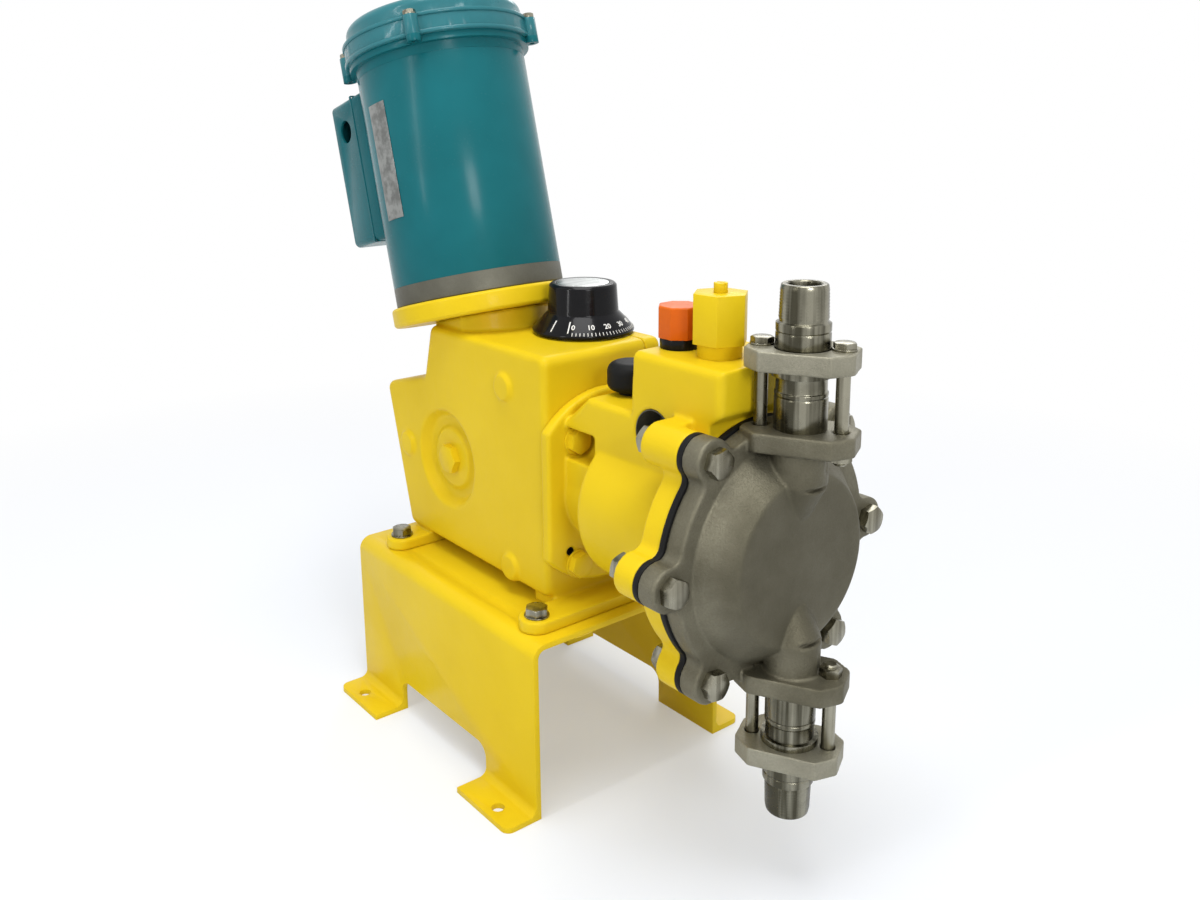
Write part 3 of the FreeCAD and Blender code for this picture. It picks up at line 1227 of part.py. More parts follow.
def make_liquid_head():
    """Cast head: eared flange, cone and round face, and a neck with a plate at each port."""
    plate = ear_plate(RING_FRONT, HEAD_FLANGE_FRONT, RIM_RADIUS, EAR_RADIUS)
    dome = cone(
        DOME_BASE_RADIUS,
        DOME_FACE_RADIUS,
        vec(HEAD_FLANGE_FRONT - 1, 0, PUMP_Z),
        vec(DOME_FRONT, 0, PUMP_Z),
    )
    dome = fillet(dome, 4.0, lambda p, w: p.x > DOME_FRONT - 0.1)
    head = plate.fuse(dome)
    for sign in (-1, 1):
        neck = valve_rod(NECK_CAST_RADIUS, sign, PLATE_START - 24, PLATE_START + 1)
        spout = cone(
            NECK_CAST_RADIUS - 7,
            NECK_CAST_RADIUS,
            vec(DOME_FRONT - 14, 0, valve_side(sign, PLATE_START - 50)),
            vec(VALVE_X, 0, valve_side(sign, PLATE_START - 22)),
        )
        port_plate = valve_plate(sign, PLATE_START, PLATE_THICKNESS, PLATE_HALF_LENGTH)
        port_plate = port_plate.cut(along_x(2 * RIM_RADIUS, BOX_FRONT, RING_FRONT))
        head = head.fuse([neck, spout, port_plate])
    cavity = cone(
        DISH_RADIUS,
        DISH_RADIUS - 20,
        vec(RING_FRONT - 0.01, 0, PUMP_Z),
        vec(RING_FRONT + LIQUID_CAVITY_DEPTH, 0, PUMP_Z),
    )
    head = head.cut(cavity)
    for sign in (-1, 1):
        head = head.cut(valve_rod(PORT_RADIUS, sign, 40, PLATE_START + PLATE_THICKNESS + 1))
        z = valve_side(sign, 44)
        head = head.cut(along_x(PORT_RADIUS - 2, RING_FRONT + 6, VALVE_X, 0, z))
        plate_end = PLATE_START + PLATE_THICKNESS
        for x, y in tie_places():
            head = head.cut(valve_rod(TIE_HOLE_RADIUS, sign, PLATE_START - 1, plate_end + 1, x, y))
            head = head.cut(valve_rod(TIE_FLATS * 0.7, sign, PLATE_START - 16, PLATE_START, x, y))
    return cut_ear_holes(head, RING_FRONT, HEAD_FLANGE_FRONT, HEAD_HOLE_RADIUS).removeSplitter()


def ear_places():
    """Y, Z and the nut's seat for each ear: two ears have a longer boss."""
    places = []
    for angle, (y, z) in zip(EAR_ANGLES, ring_points(EAR_CIRCLE, EAR_ANGLES)):
        boss = EAR_BOSS_LENGTH if angle in EAR_BOSS_ANGLES else 0.0
        places.append((y, z, FRONT_FLANGE_BACK - boss))
    return places


def make_head_bolts():
    bolts = []
    front = HEAD_FLANGE_FRONT
    for y, z, seat in ear_places():
        shank = along_x(HEAD_BOLT_RADIUS, seat - NUT_LARGE - 4, front + 1, y, z)
        head = hexagon(HEX_LARGE, vec(front, y, z), vec(front + HEAD_LARGE, y, z))
        bolts.append(shank.fuse(head))
    return bolts


def make_head_nuts():
    nuts = []
    for y, z, seat in ear_places():
        nut = hexagon(HEX_LARGE, vec(seat - NUT_LARGE, y, z), vec(seat, y, z))
        nuts.append(nut.cut(along_x(HEAD_BOLT_RADIUS, seat - NUT_LARGE - 1, seat + 1, y, z)))
    return nuts


def make_valve_body(sign, bore_end):
    """Turned cartridge: plain body, shoulder under the clamp, collar and pipe nipple."""
    start = PLATE_START + PLATE_THICKNESS
    clamp_end = CLAMP_START + CLAMP_THICKNESS
    nipple_start = VALVE_END - NIPPLE_LENGTH
    body = valve_rod(BODY_RADIUS, sign, start, BODY_STEP)
    body = body.fuse(valve_rod(BODY_WAIST_RADIUS, sign, BODY_STEP - 1, nipple_start))
    body = body.fuse(valve_rod(SHOULDER_RADIUS, sign, CLAMP_START - SHOULDER_THICKNESS, CLAMP_START))
    body = body.fuse(valve_rod(COLLAR_RADIUS, sign, clamp_end, nipple_start))
    body = body.fuse(valve_rod(NIPPLE_RADIUS, sign, nipple_start - 1, VALVE_END))
    body = body.cut(valve_rod(CARTRIDGE_BORE, sign, start - 1, bore_end))
    body = body.cut(valve_rod(NIPPLE_BORE, sign, bore_end - 1, VALVE_END + 1))
    return body.removeSplitter()


def valve_ring(sign, start, thickness, inner):
    ring = valve_rod(CARTRIDGE_BORE, sign, start, start + thickness)
    return ring.cut(valve_rod(inner, sign, start - 1, start + thickness + 1))


def ball_drop():
    """How far the ball's centre stands off the face of its seat."""
    return math.sqrt(BALL_RADIUS ** 2 - SEAT_BORE ** 2) + BALL_GAP


def make_ball(sign, centre):
    return Part.makeSphere(BALL_RADIUS, vec(VALVE_X, 0, valve_side(sign, centre)))


def make_ball_stop(sign, start):
    """Ring with a bar across that the ball lifts against."""
    ring = valve_ring(sign, start, STOP_THICKNESS, CARTRIDGE_BORE - 3)
    low, high = sorted((valve_side(sign, start), valve_side(sign, start + STOP_THICKNESS)))
    bar = box(VALVE_X - CARTRIDGE_BORE + 2, VALVE_X + CARTRIDGE_BORE - 2, -2, 2, low, high)
    return ring.fuse(bar).removeSplitter()


def make_clamp(sign):
    plate = valve_plate(sign, CLAMP_START, CLAMP_THICKNESS, CLAMP_HALF_LENGTH)
    end = CLAMP_START + CLAMP_THICKNESS
    plate = plate.cut(valve_rod(COLLAR_RADIUS + 0.2, sign, CLAMP_START - 1, end + 1))
    for x, y in tie_places():
        plate = plate.cut(valve_rod(TIE_HOLE_RADIUS, sign, CLAMP_START - 1, end + 1, x, y))
    return plate


def make_tie_bolts(sign):
    """Long bolts from the clamp to the head's plate, with nuts under the plate."""
    bolts = []
    head_start = CLAMP_START + CLAMP_THICKNESS
    for x, y in tie_places():
        shank = valve_rod(TIE_RADIUS, sign, PLATE_START - TIE_STUD_END, head_start + 1, x, y)
        head = hex_on_valve(sign, head_start, TIE_HEAD, x, y)
        nut = hex_on_valve(sign, PLATE_START - HEAD_SMALL, HEAD_SMALL, x, y)
        bolts.append(shank.fuse(head).fuse(nut))
    return bolts


def hex_on_valve(sign, start, height, x, y):
    low, high = sorted((valve_side(sign, start), valve_side(sign, start + height)))
    return hexagon(TIE_FLATS, vec(x, y, low), vec(x, y, high))


def make_knob():
    """Turned knob with a flared skirt for its scale."""
    base = BOX_TOP + KNOB_GAP
    top = base + KNOB_HEIGHT
    flare = base + KNOB_FLARE_HEIGHT
    profile = Part.makePolygon([
        vec(0, 0, base),
        vec(KNOB_SKIRT_RADIUS, 0, base),
        vec(KNOB_SKIRT_RADIUS, 0, base + KNOB_RIM),
        vec(KNOB_RADIUS + 1.5, 0, flare),
        vec(KNOB_RADIUS, 0, top),
        vec(0, 0, top),
        vec(0, 0, base),
    ])
    knob = Part.Face(profile).revolve(vec(0, 0, 0), vec(0, 0, 1), 360)
    knob = fillet(knob, 2.0, lambda p, w: p.z > top - 0.1)
    knob.translate(vec(KNOB_X, KNOB_Y, 0))
    knob = knob.cut(up(SPINDLE_RADIUS, base - 1, top - 12, KNOB_X, KNOB_Y))
    knob = knob.cut(up(KNOB_HOLLOW_RADIUS, base - 1, base + 5, KNOB_X, KNOB_Y))
    return knob.cut(up(KNOB_DISC_RADIUS, top - KNOB_DISC_THICKNESS, top + 1, KNOB_X, KNOB_Y))


def make_knob_disc():
    top = BOX_TOP + KNOB_GAP + KNOB_HEIGHT
    return up(KNOB_DISC_RADIUS, top - KNOB_DISC_THICKNESS, top + 0.4, KNOB_X, KNOB_Y)


def make_spindle():
    """Spindle in the knob, passing down through the bush into the gearbox."""
    top = BOX_TOP + KNOB_GAP + KNOB_HEIGHT - 12
    low = top - SPINDLE_LENGTH
    spindle = up(SPINDLE_RADIUS, low, top, KNOB_X, KNOB_Y)
    return fillet(spindle, 1.0, lambda p, w: p.z < low + 0.1)


def make_bush():
    low = BOX_TOP - BUSH_LENGTH
    return up_tube(BUSH_RADIUS, SPINDLE_RADIUS + RUNNING_FIT, low, BOX_TOP, KNOB_X, KNOB_Y)


def make_filler_neck():
    base = RESERVOIR_TOP
    low = base - RESERVOIR_WALL
    high = base + FILLER_NECK_HEIGHT + 6
    neck = up(FILLER_NECK_RADIUS + 1.5, base, base + FILLER_NECK_HEIGHT - 4, FILLER_X, FILLER_Y)
    neck = neck.fuse(up(FILLER_THREAD_RADIUS, low, high, FILLER_X, FILLER_Y))
    bore = up(FILLER_BORE, low - 1, high + 1, FILLER_X, FILLER_Y)
    return neck.cut(bore).removeSplitter()


def make_filler_cap():
    """Cap with eight flats, screwed over the filler neck."""
    base = RESERVOIR_TOP + FILLER_NECK_HEIGHT - 4
    top = base + FILLER_CAP_HEIGHT
    points = []
    for i in range(9):
        angle = math.radians(45.0 * i + 22.5)
        points.append(vec(FILLER_CAP_RADIUS * math.cos(angle), FILLER_CAP_RADIUS * math.sin(angle), base))
    cap = Part.Face(Part.makePolygon(points)).extrude(vec(0, 0, FILLER_CAP_HEIGHT))
    cap = fillet(cap, 1.5, lambda p, w: p.z > top - 0.1 or abs(w.z) > 0.9)
    cap.translate(vec(FILLER_X, FILLER_Y, 0))
    hollow = up(FILLER_THREAD_RADIUS + RUNNING_FIT, base - 1, base + 10 + BOLT_GAP, FILLER_X, FILLER_Y)
    return cap.cut(hollow)


def make_relief_body():
    """Hexagonal valve body on the reservoir, open below and through its top."""
    base = RESERVOIR_TOP
    body = up(RELIEF_BASE_RADIUS, base, base + RELIEF_BASE_HEIGHT, RELIEF_X, RELIEF_Y)
    low = vec(RELIEF_X, RELIEF_Y, base + RELIEF_BASE_HEIGHT)
    high = vec(RELIEF_X, RELIEF_Y, base + RELIEF_BASE_HEIGHT + RELIEF_HEIGHT)
    hexa = hexagon(RELIEF_FLATS, low, high, 8.0)
    body = body.fuse(hexa)
    body = body.fuse(up(RELIEF_BORE, base - RESERVOIR_WALL, base + 1, RELIEF_X, RELIEF_Y))
    bore_top = base + RELIEF_BASE_HEIGHT + RELIEF_HEIGHT - 5
    body = body.cut(up(RELIEF_BORE - 2, base - RESERVOIR_WALL + 3, bore_top, RELIEF_X, RELIEF_Y))
    body = body.cut(up(3.5, base - RESERVOIR_WALL - 1, base, RELIEF_X, RELIEF_Y))
    screw_hole = up(RELIEF_NUB_RADIUS - 2, bore_top - 1, bore_top + 7, RELIEF_X, RELIEF_Y)
    return body.cut(screw_hole).removeSplitter()


def make_relief_screw():
    top = RESERVOIR_TOP + RELIEF_BASE_HEIGHT + RELIEF_HEIGHT
    screw = up(RELIEF_NUB_RADIUS - 2, top - 5 - 8, top + 1, RELIEF_X, RELIEF_Y)
    nub = up(RELIEF_NUB_RADIUS, top, top + RELIEF_NUB_HEIGHT, RELIEF_X, RELIEF_Y)
    slot_low = top + RELIEF_NUB_HEIGHT - 2
    slot = box(RELIEF_X - 6, RELIEF_X + 6, RELIEF_Y - 0.8, RELIEF_Y + 0.8, slot_low, top + 20)
    foot = up(RELIEF_BORE - 3, top - 5 - 8, top - 5 - 5, RELIEF_X, RELIEF_Y)
    return screw.fuse([nub, foot]).cut(slot).removeSplitter()


def make_vent():
    """Dark round breather on the shoulder between gearbox and reservoir."""
    low = SHOULDER_TOP + VENT_STEM_HEIGHT
    top = SHOULDER_TOP + VENT_HEIGHT
    vent = up(VENT_RADIUS, low, top, VENT_X, VENT_Y)
    vent = fillet(vent, 8.0, lambda p, w: p.z > top - 0.1)
    vent = fillet(vent, 6.0, lambda p, w: p.z < low + 0.1)
    return vent.fuse(up(VENT_STEM_RADIUS, SHOULDER_TOP, low + 1, VENT_X, VENT_Y)).removeSplitter()


def main():
    os.makedirs("parts", exist_ok=True)
    seat_face = PLATE_START + PLATE_THICKNESS + SEAT_THICKNESS
    discharge_ball = seat_face + ball_drop()
    discharge_stop = discharge_ball + BALL_RADIUS + BALL_LIFT + BALL_GAP
    suction_stop = PLATE_START + PLATE_THICKNESS
    suction_ball = suction_stop + STOP_THICKNESS + BALL_GAP + BALL_LIFT + BALL_RADIUS
    suction_seat = suction_ball + ball_drop()
    parts = {
        "stand": make_stand(),
        "lug_bolts": make_lug_bolts(),
        "gearbox_housing": make_housing(),
        "side_cover": make_side_cover(),
        "cover_bolts": make_cover_bolts(),
        "inspection_plug": make_inspection_plug(),
        "motor_adapter": make_motor_adapter(),
        "motor_bolts": make_face_bolts() + make_bell_bolts(),
        "drive_end_bell": make_drive_end_bell(),
        "motor_frame": make_motor_frame(),
        "fan_end_bell": make_fan_end_bell(),
        "fan_cover": make_fan_cover(),
        "stator_core": make_stator_core(),
        "stator_windings": make_windings(),
        "rotor_core": make_rotor_core(),
        "motor_shaft": make_motor_shaft(),
        "motor_bearings": make_motor_bearings(),
        "cooling_fan": make_fan(),
        "conduit_box": make_conduit_box(),
        "nameplate": make_nameplate(),
        "shaft_coupling": make_coupling(),
        "worm": make_worm(),
        "worm_bearings": make_worm_bearings(),
        "worm_wheel": make_worm_wheel(),
        "crankshaft": make_crankshaft(),
        "crank_bearings": make_crank_bearings(),
        "connecting_rod": make_connecting_rod(),
        "wrist_pin": make_wrist_pin(),
        "plunger_crosshead": make_crosshead(),
        "plunger_liner": make_liner(),
        "plunger_seal": make_plunger_seal(),
        "hydraulic_body": make_hydraulic_body(),
        "hydraulic_body_bolts": make_rear_bolts(),
        "contour_plate": make_contour_plate(),
        "diaphragm": make_diaphragm(),
        "diaphragm_insert": make_diaphragm_insert(),
        "clamp_ring": make_clamp_ring(),
        "liquid_head": make_liquid_head(),
        "head_bolts": make_head_bolts(),
        "head_nuts": make_head_nuts(),
        "discharge_valve_body": make_valve_body(1, discharge_stop + STOP_THICKNESS),
        "discharge_seat": valve_ring(1, PLATE_START + PLATE_THICKNESS, SEAT_THICKNESS, SEAT_BORE),
        "discharge_ball": make_ball(1, discharge_ball),
        "discharge_ball_stop": make_ball_stop(1, discharge_stop),
        "discharge_clamp": make_clamp(1),
        "suction_valve_body": make_valve_body(-1, suction_seat + SEAT_THICKNESS),
        "suction_seat": valve_ring(-1, suction_seat, SEAT_THICKNESS, SEAT_BORE),
        "suction_ball": make_ball(-1, suction_ball),
        "suction_ball_stop": make_ball_stop(-1, suction_stop),
        "suction_clamp": make_clamp(-1),
        "valve_tie_bolts": make_tie_bolts(1) + make_tie_bolts(-1),
        "capacity_knob": make_knob(),
        "knob_disc": make_knob_disc(),
        "control_spindle": make_spindle(),
        "spindle_bush": make_bush(),
        "filler_neck": make_filler_neck(),
        "filler_cap": make_filler_cap(),
        "relief_valve_body": make_relief_body(),
        "relief_screw": make_relief_screw(),
        "breather": make_vent(),
    }
    for name, shapes in parts.items():
        export(name, shapes)


main()
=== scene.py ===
"""Studio scene of a diaphragm metering pump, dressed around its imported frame.

Metres throughout. +X points to the liquid head, +Z is up, and the floor is at zero.
"""

import json
import logging
import math
from collections.abc import Iterable, Sequence
from dataclasses import dataclass, field
from enum import Enum

import bmesh
import bpy
from mathutils import Matrix, Vector

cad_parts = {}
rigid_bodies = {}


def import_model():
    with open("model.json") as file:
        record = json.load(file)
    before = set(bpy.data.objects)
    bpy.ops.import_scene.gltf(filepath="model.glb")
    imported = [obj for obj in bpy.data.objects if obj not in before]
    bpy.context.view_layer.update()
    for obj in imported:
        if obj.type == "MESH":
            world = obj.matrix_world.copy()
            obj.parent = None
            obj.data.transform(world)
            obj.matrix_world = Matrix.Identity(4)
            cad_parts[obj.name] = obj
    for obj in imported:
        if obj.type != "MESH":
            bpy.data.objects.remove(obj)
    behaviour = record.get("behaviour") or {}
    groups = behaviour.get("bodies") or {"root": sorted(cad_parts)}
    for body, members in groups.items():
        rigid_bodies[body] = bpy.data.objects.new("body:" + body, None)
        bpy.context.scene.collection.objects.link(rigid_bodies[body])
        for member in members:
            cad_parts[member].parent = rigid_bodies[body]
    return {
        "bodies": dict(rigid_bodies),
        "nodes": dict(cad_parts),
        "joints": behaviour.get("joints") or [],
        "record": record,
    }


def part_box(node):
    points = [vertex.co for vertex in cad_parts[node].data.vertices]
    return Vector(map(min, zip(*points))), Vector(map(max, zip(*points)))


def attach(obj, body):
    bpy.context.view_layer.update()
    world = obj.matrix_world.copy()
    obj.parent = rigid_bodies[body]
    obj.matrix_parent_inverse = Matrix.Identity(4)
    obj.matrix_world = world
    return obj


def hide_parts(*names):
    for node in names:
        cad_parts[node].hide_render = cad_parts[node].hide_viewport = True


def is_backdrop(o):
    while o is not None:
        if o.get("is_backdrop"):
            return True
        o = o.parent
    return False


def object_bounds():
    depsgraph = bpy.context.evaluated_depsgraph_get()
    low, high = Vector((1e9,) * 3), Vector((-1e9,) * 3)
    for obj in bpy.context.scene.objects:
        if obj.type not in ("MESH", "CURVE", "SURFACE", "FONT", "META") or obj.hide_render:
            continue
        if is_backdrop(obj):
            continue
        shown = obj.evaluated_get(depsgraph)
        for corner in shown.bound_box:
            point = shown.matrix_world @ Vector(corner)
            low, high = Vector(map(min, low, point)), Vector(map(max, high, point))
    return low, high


log = logging.getLogger("pump")

Colour = tuple[float, float, float]
Triple = tuple[float, float, float]
Profile = Sequence[tuple[float, float]]

TINY = 1e-6
OVERLAP = 0.0005
SMOOTH_ANGLE = math.radians(32)
BEVEL_ANGLE = math.radians(28)
FLAT_ANGLE = math.radians(0.5)
FINE_EDGE = 0.0002
UP = Vector((0, 0, 1))
AHEAD = Vector((1, 0, 0))
HALF_TURN = Matrix.Rotation(math.pi, 4, "X")
WHITE = (1.0, 1.0, 1.0)
EVEN = (1.0, 1.0, 1.0)
NOISE_ROUGHNESS = 0.55
# Turns every bolt by its place, so that no two heads stand alike.
TURN_SPREAD = Vector((311.0, 173.0, 237.0))
# Angle between a bolt's head and its nut.
NUT_TURN = 0.3
# Hexagon heads: cuts in each side, width of the flat top, inset of the chamfer, and its slope.
HEX_CUTS = 5
HEX_TOP = 0.47
HEX_INSET = 0.02
HEX_SLOPE = math.tan(math.radians(28))


class Slot(Enum):
    """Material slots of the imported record."""

    YELLOW_PAINT = "yellow_paint"
    TEAL_PAINT = "teal_paint"
    BARE_IRON = "bare_iron"
    CAST_STAINLESS = "cast_stainless"
    TURNED_STAINLESS = "turned_stainless"
    ZINC_STEEL = "zinc_steel"
    GEAR_STEEL = "gear_steel"
    CORE_STEEL = "core_steel"
    COPPER = "copper"
    BRONZE = "bronze"
    BLACK_RUBBER = "black_rubber"
    WHITE_PLASTIC = "white_plastic"
    BLACK_PLASTIC = "black_plastic"
    ORANGE_PLASTIC = "orange_plastic"
    BRIGHT_PLATE = "bright_plate"


class Body(Enum):
    """Bodies of the frame that pieces ride on."""

    FRAME = "frame"
    KNOB = "knob"
    FILLER_CAP = "filler_cap"
    RELIEF_SCREW = "relief_screw"


class Side(Enum):
    """The two check valves, by the way they point from the pump axis."""

    DISCHARGE = 1
    SUCTION = -1


class Value:
    """One output of a shader node. Python's operators on it add Math nodes."""

    def __init__(self, graph: "Graph", socket: bpy.types.NodeSocket) -> None:
        """Wrap a socket.

        Args:
            graph: The material that the socket belongs to.
            socket: The output socket.
        """
        self.graph = graph
        self.socket = socket

    def _math(self, operation: str, first: "Value | float", second: "Value | float") -> "Value":
        """Add one Math node."""
        return self.graph.node("ShaderNodeMath", {"operation": operation}, {0: first, 1: second})

    def __add__(self, other: "Value | float") -> "Value":
        """Sum."""
        return self._math("ADD", self, other)

    def __sub__(self, other: "Value | float") -> "Value":
        """Difference."""
        return self._math("SUBTRACT", self, other)

    def __rsub__(self, other: float) -> "Value":
        """Difference from a number."""
        return self._math("SUBTRACT", other, self)

    def __mul__(self, other: "Value | float") -> "Value":
        """Product."""
        return self._math("MULTIPLY", self, other)

    __radd__ = __add__
    __rmul__ = __mul__

    def __or__(self, other: "Value") -> "Value":
        """The larger of two values."""
        return self._math("MAXIMUM", self, other)


class Graph:
    """Node tree of one material or of the world, with its shader."""

    def __init__(self, owner: bpy.types.Material | bpy.types.World) -> None:
        """Start with an empty tree.

        Args:
            owner: The material or world.
        """
        self.owner = owner
        owner.use_nodes = True
        self.tree = owner.node_tree
        self.tree.nodes.clear()
        self.place = self.node("ShaderNodeTexCoord", output="Object")

    def node(
        self,
        kind: str,
        settings: dict[str, object] | None = None,
        inputs: dict[int | str, object] | None = None,
        output: int | str = 0,
    ) -> Value:
        """Add a node of any kind.

        Args:
            kind: The node's type.
            settings: The node's own settings.
            inputs: Values or links of its sockets, by name or number.
            output: The output to return.

        Returns:
            The chosen output.
        """
        made = self.tree.nodes.new(kind)
        for name, setting in (settings or {}).items():
            setattr(made, name, setting)
        for name, given in (inputs or {}).items():
            socket = made.inputs[name]
            if isinstance(given, Value):
                self.tree.links.new(given.socket, socket)
            elif isinstance(given, tuple) and socket.type == "RGBA":
                socket.default_value = (*given, 1.0)
            else:
                socket.default_value = given
        chosen = made.outputs[output] if made.outputs else None
        return Value(self, chosen)

    def noise(self, scale: float, detail: float = 3.0, stretch: Triple = EVEN) -> Value:
        """Noise on the object's own place.

        Args:
            scale: Cells to the metre.
            detail: Octaves.
            stretch: How much finer the noise is along each axis.

        Returns:
            A value from 0 to 1.
        """
        moved = self.node("ShaderNodeMapping", inputs={"Vector": self.place, "Scale": stretch})
        inputs = {"Vector": moved, "Scale": scale, "Detail": detail, "Roughness": NOISE_ROUGHNESS}
        return self.node("ShaderNodeTexNoise", inputs=inputs)

    def ramp(self, value: Value, low: float, high: float) -> Value:
        """Stretch a value so that low gives 0 and high gives 1.

        Args:
            value: The value.
            low: What becomes 0.
            high: What becomes 1.

        Returns:
            The value from 0 to 1, clamped.
        """
        return self.node(
            "ShaderNodeMapRange",
            {"clamp": True},
            {"Value": value, "From Min": low, "From Max": high},
        )

    def mix(self, factor: Value, first: object, second: object) -> Value:
        """Mix two colours.

        Args:
            factor: How much of the second shows.
            first: Colour or colour value at 0.
            second: Colour or colour value at 1.

        Returns:
            The mixed colour.
        """
        settings = {"data_type": "RGBA"}
        return self.node("ShaderNodeMix", settings, {0: factor, 6: first, 7: second}, output=2)

    def bump(self, height: Value, depth: float, under: Value | None = None) -> Value:
        """Turn a height into a normal.

        Args:
            height: Height from 0 to 1.
            depth: Its depth in metres.
            under: A normal to build on.

        Returns:
            The normal.
        """
        inputs = {"Height": height, "Distance": depth, "Strength": 1.0}
        if under is not None:
            inputs["Normal"] = under
        return self.node("ShaderNodeBump", inputs=inputs)

    def finish(self, inputs: dict[int | str, object]) -> bpy.types.Material:
        """Add the shader and the output.

        Args:
            inputs: Values or links of the shader's sockets.

        Returns:
            The finished material.
        """
        shader = self.node("ShaderNodeBsdfPrincipled", inputs=inputs)
        self.node("ShaderNodeOutputMaterial", inputs={"Surface": shader})
        return self.owner

    def distance(self, centre: Triple) -> Value:
        """Distance from a point of the object's own place."""
        ends = {0: self.place, 1: centre}
        return self.node("ShaderNodeVectorMath", {"operation": "DISTANCE"}, ends, "Value")

    def seen(self) -> Value:
        """1 for what the camera sees itself, in a reflection or through glass.

        Returns:
            The largest of the three rays' values.
        """
        rays = ("Is Camera Ray", "Is Glossy Ray", "Is Transmission Ray")
        camera, glossy, through = (self.node("ShaderNodeLightPath", output=ray) for ray in rays)
        return camera | glossy | through


@dataclass(frozen=True)
class Finish:
    """What every finish has.

    Attributes:
        slot: The record's slot.
        light: Main colour.
        dark: Colour where the surface is thin or worn, of stains and random mottling, and of
            painted shade and painted reflection streaking where a finish paints them.
    """

    slot: Slot
    light: Colour
    dark: Colour

    def build(self) -> bpy.types.Material:
        """Make the material."""
        return self.dress(Graph(bpy.data.materials.new(self.slot.value)))

    def dress(self, graph: Graph) -> bpy.types.Material:
        """Add the finish's own nodes and end the material.

        Args:
            graph: The material's empty tree.

        Returns:
            The finished material.
        """
        raise NotImplementedError


@dataclass(frozen=True)
class Enamel(Finish):
    """Glossy enamel over a casting or sheet, with flow, drift and dust in its gloss.

    Attributes:
        roughness: Middle roughness.
        grain: Depth of the casting's grain under the paint, in metres.
        coat: Weight of the clear gloss.
        specular: Level of the paint's own reflection.
    """

    roughness: float = 0.34
    grain: float = 0.00012
    coat: float = 0.05
    specular: float = 0.10

    def dress(self, graph: Graph) -> bpy.types.Material:
        """Add the paint's drift, specks and flow.

        Args:
            graph: The material's empty tree.

        Returns:
            The finished material.
        """
        drift = graph.ramp(graph.noise(9.0, 4.0), 0.38, 0.66)
        specks = graph.ramp(graph.noise(420.0, 2.0), 0.62, 0.80)
        colour = graph.mix(drift * 0.55, self.light, self.dark)
        colour = graph.mix(specks * 0.12, colour, self.dark)
        flow = graph.bump(graph.noise(75.0), self.grain * 3.0)
        return graph.finish(
            {
                "Base Color": colour,
                "Roughness": self.roughness + drift * 0.10 + specks * 0.10,
                "Specular IOR Level": self.specular,
                "Coat Weight": self.coat * (1.0 - drift * 0.5),
                "Coat Roughness": 0.10,
                "Normal": graph.bump(graph.noise(900.0, 2.0), self.grain * 0.45, flow),
            }
        )


@dataclass(frozen=True)
class CastMetal(Finish):
    """Blasted casting: grained and mottled, with a round patch of painted shade where a finish
    sets one.

    Attributes:
        metallic: How metallic the surface is.
        roughness: Middle roughness.
        grain: Depth of the grain in metres.
        stain_centre: Middle of the patch of painted shade.
        stain_reach: Distances from it where the painted shade starts to fade and ends.
    """

    metallic: float = 0.85
    roughness: float = 0.46
    grain: float = 0.0003
    stain_centre: Triple = (0.0, 0.0, 0.0)
    stain_reach: tuple[float, float] = (0.0, 0.0)

    def dress(self, graph: Graph) -> bpy.types.Material:
        """Add the casting's patches, grains, pits and stain.

        Args:
            graph: The material's empty tree.

        Returns:
            Add the casting's patches, grains, pits and painted shade.
        """
        patches = graph.ramp(graph.noise(24.0, 5.0), 0.36, 0.68)
        grains = graph.noise(620.0)
        pits = graph.ramp(graph.noise(1500.0, 2.0), 0.30, 0.48)
        colour = graph.mix(patches * 0.65, self.light, self.dark)
        colour = graph.mix(graph.ramp(grains, 0.35, 0.75) * 0.35, colour, self.dark)
        # Painted shade: the dark colour is mixed in round a point and fades out with distance.
        if any(self.stain_reach):
            painted_shade = 1.0 - graph.ramp(graph.distance(self.stain_centre), *self.stain_reach)
            colour = graph.mix(painted_shade * 0.75, colour, self.dark)
        return graph.finish(
            {
                "Base Color": colour,
                "Metallic": self.metallic,
                "Roughness": self.roughness + patches * 0.14,
                "Normal": graph.bump(pits, self.grain * 0.5, graph.bump(grains, self.grain)),
            }
        )


@dataclass(frozen=True)
class TurnedMetal(Finish):
    """Machined metal with fine lines from the tool, and painted reflection streaking in its
    colour.

    Attributes:
        lines: How much finer the tool's lines are along each axis.
        streaks: How much finer the streak pattern across the lines is along each axis; it roughs
            the surface and paints bright and dark reflection streaking into the colour.
        roughness: Middle roughness.
        depth: Depth of the lines in metres.
    """

    lines: Triple = (1.0, 1.0, 60.0)
    streaks: Triple = (1.0, 1.0, 0.03)
    roughness: float = 0.24
    depth: float = 0.000006

    def dress(self, graph: Graph) -> bpy.types.Material:
        """Add the metal's tool marks, chatter with its painted reflection, and stains.

        Args:
            graph: The material's empty tree.

        Returns:
            The finished material.
        """
        marks = graph.noise(26.0, stretch=self.lines)
        streaks = graph.ramp(graph.noise(150.0, stretch=self.streaks), 0.40, 0.62)
        stains = graph.ramp(graph.noise(55.0, 4.0), 0.45, 0.75)
        # Painted reflection: bright and dark streaking along the turning's axis is painted into
        # the base colour.
        colour = graph.mix(streaks * 0.85, self.light, self.dark)
        return graph.finish(
            {
                "Base Color": graph.mix(stains * 0.35, colour, self.dark),
                "Metallic": 1.0,
                "Roughness": self.roughness + stains * 0.16,
                "Normal": graph.bump(streaks, self.depth * 4.0, graph.bump(marks, self.depth)),
            }
        )


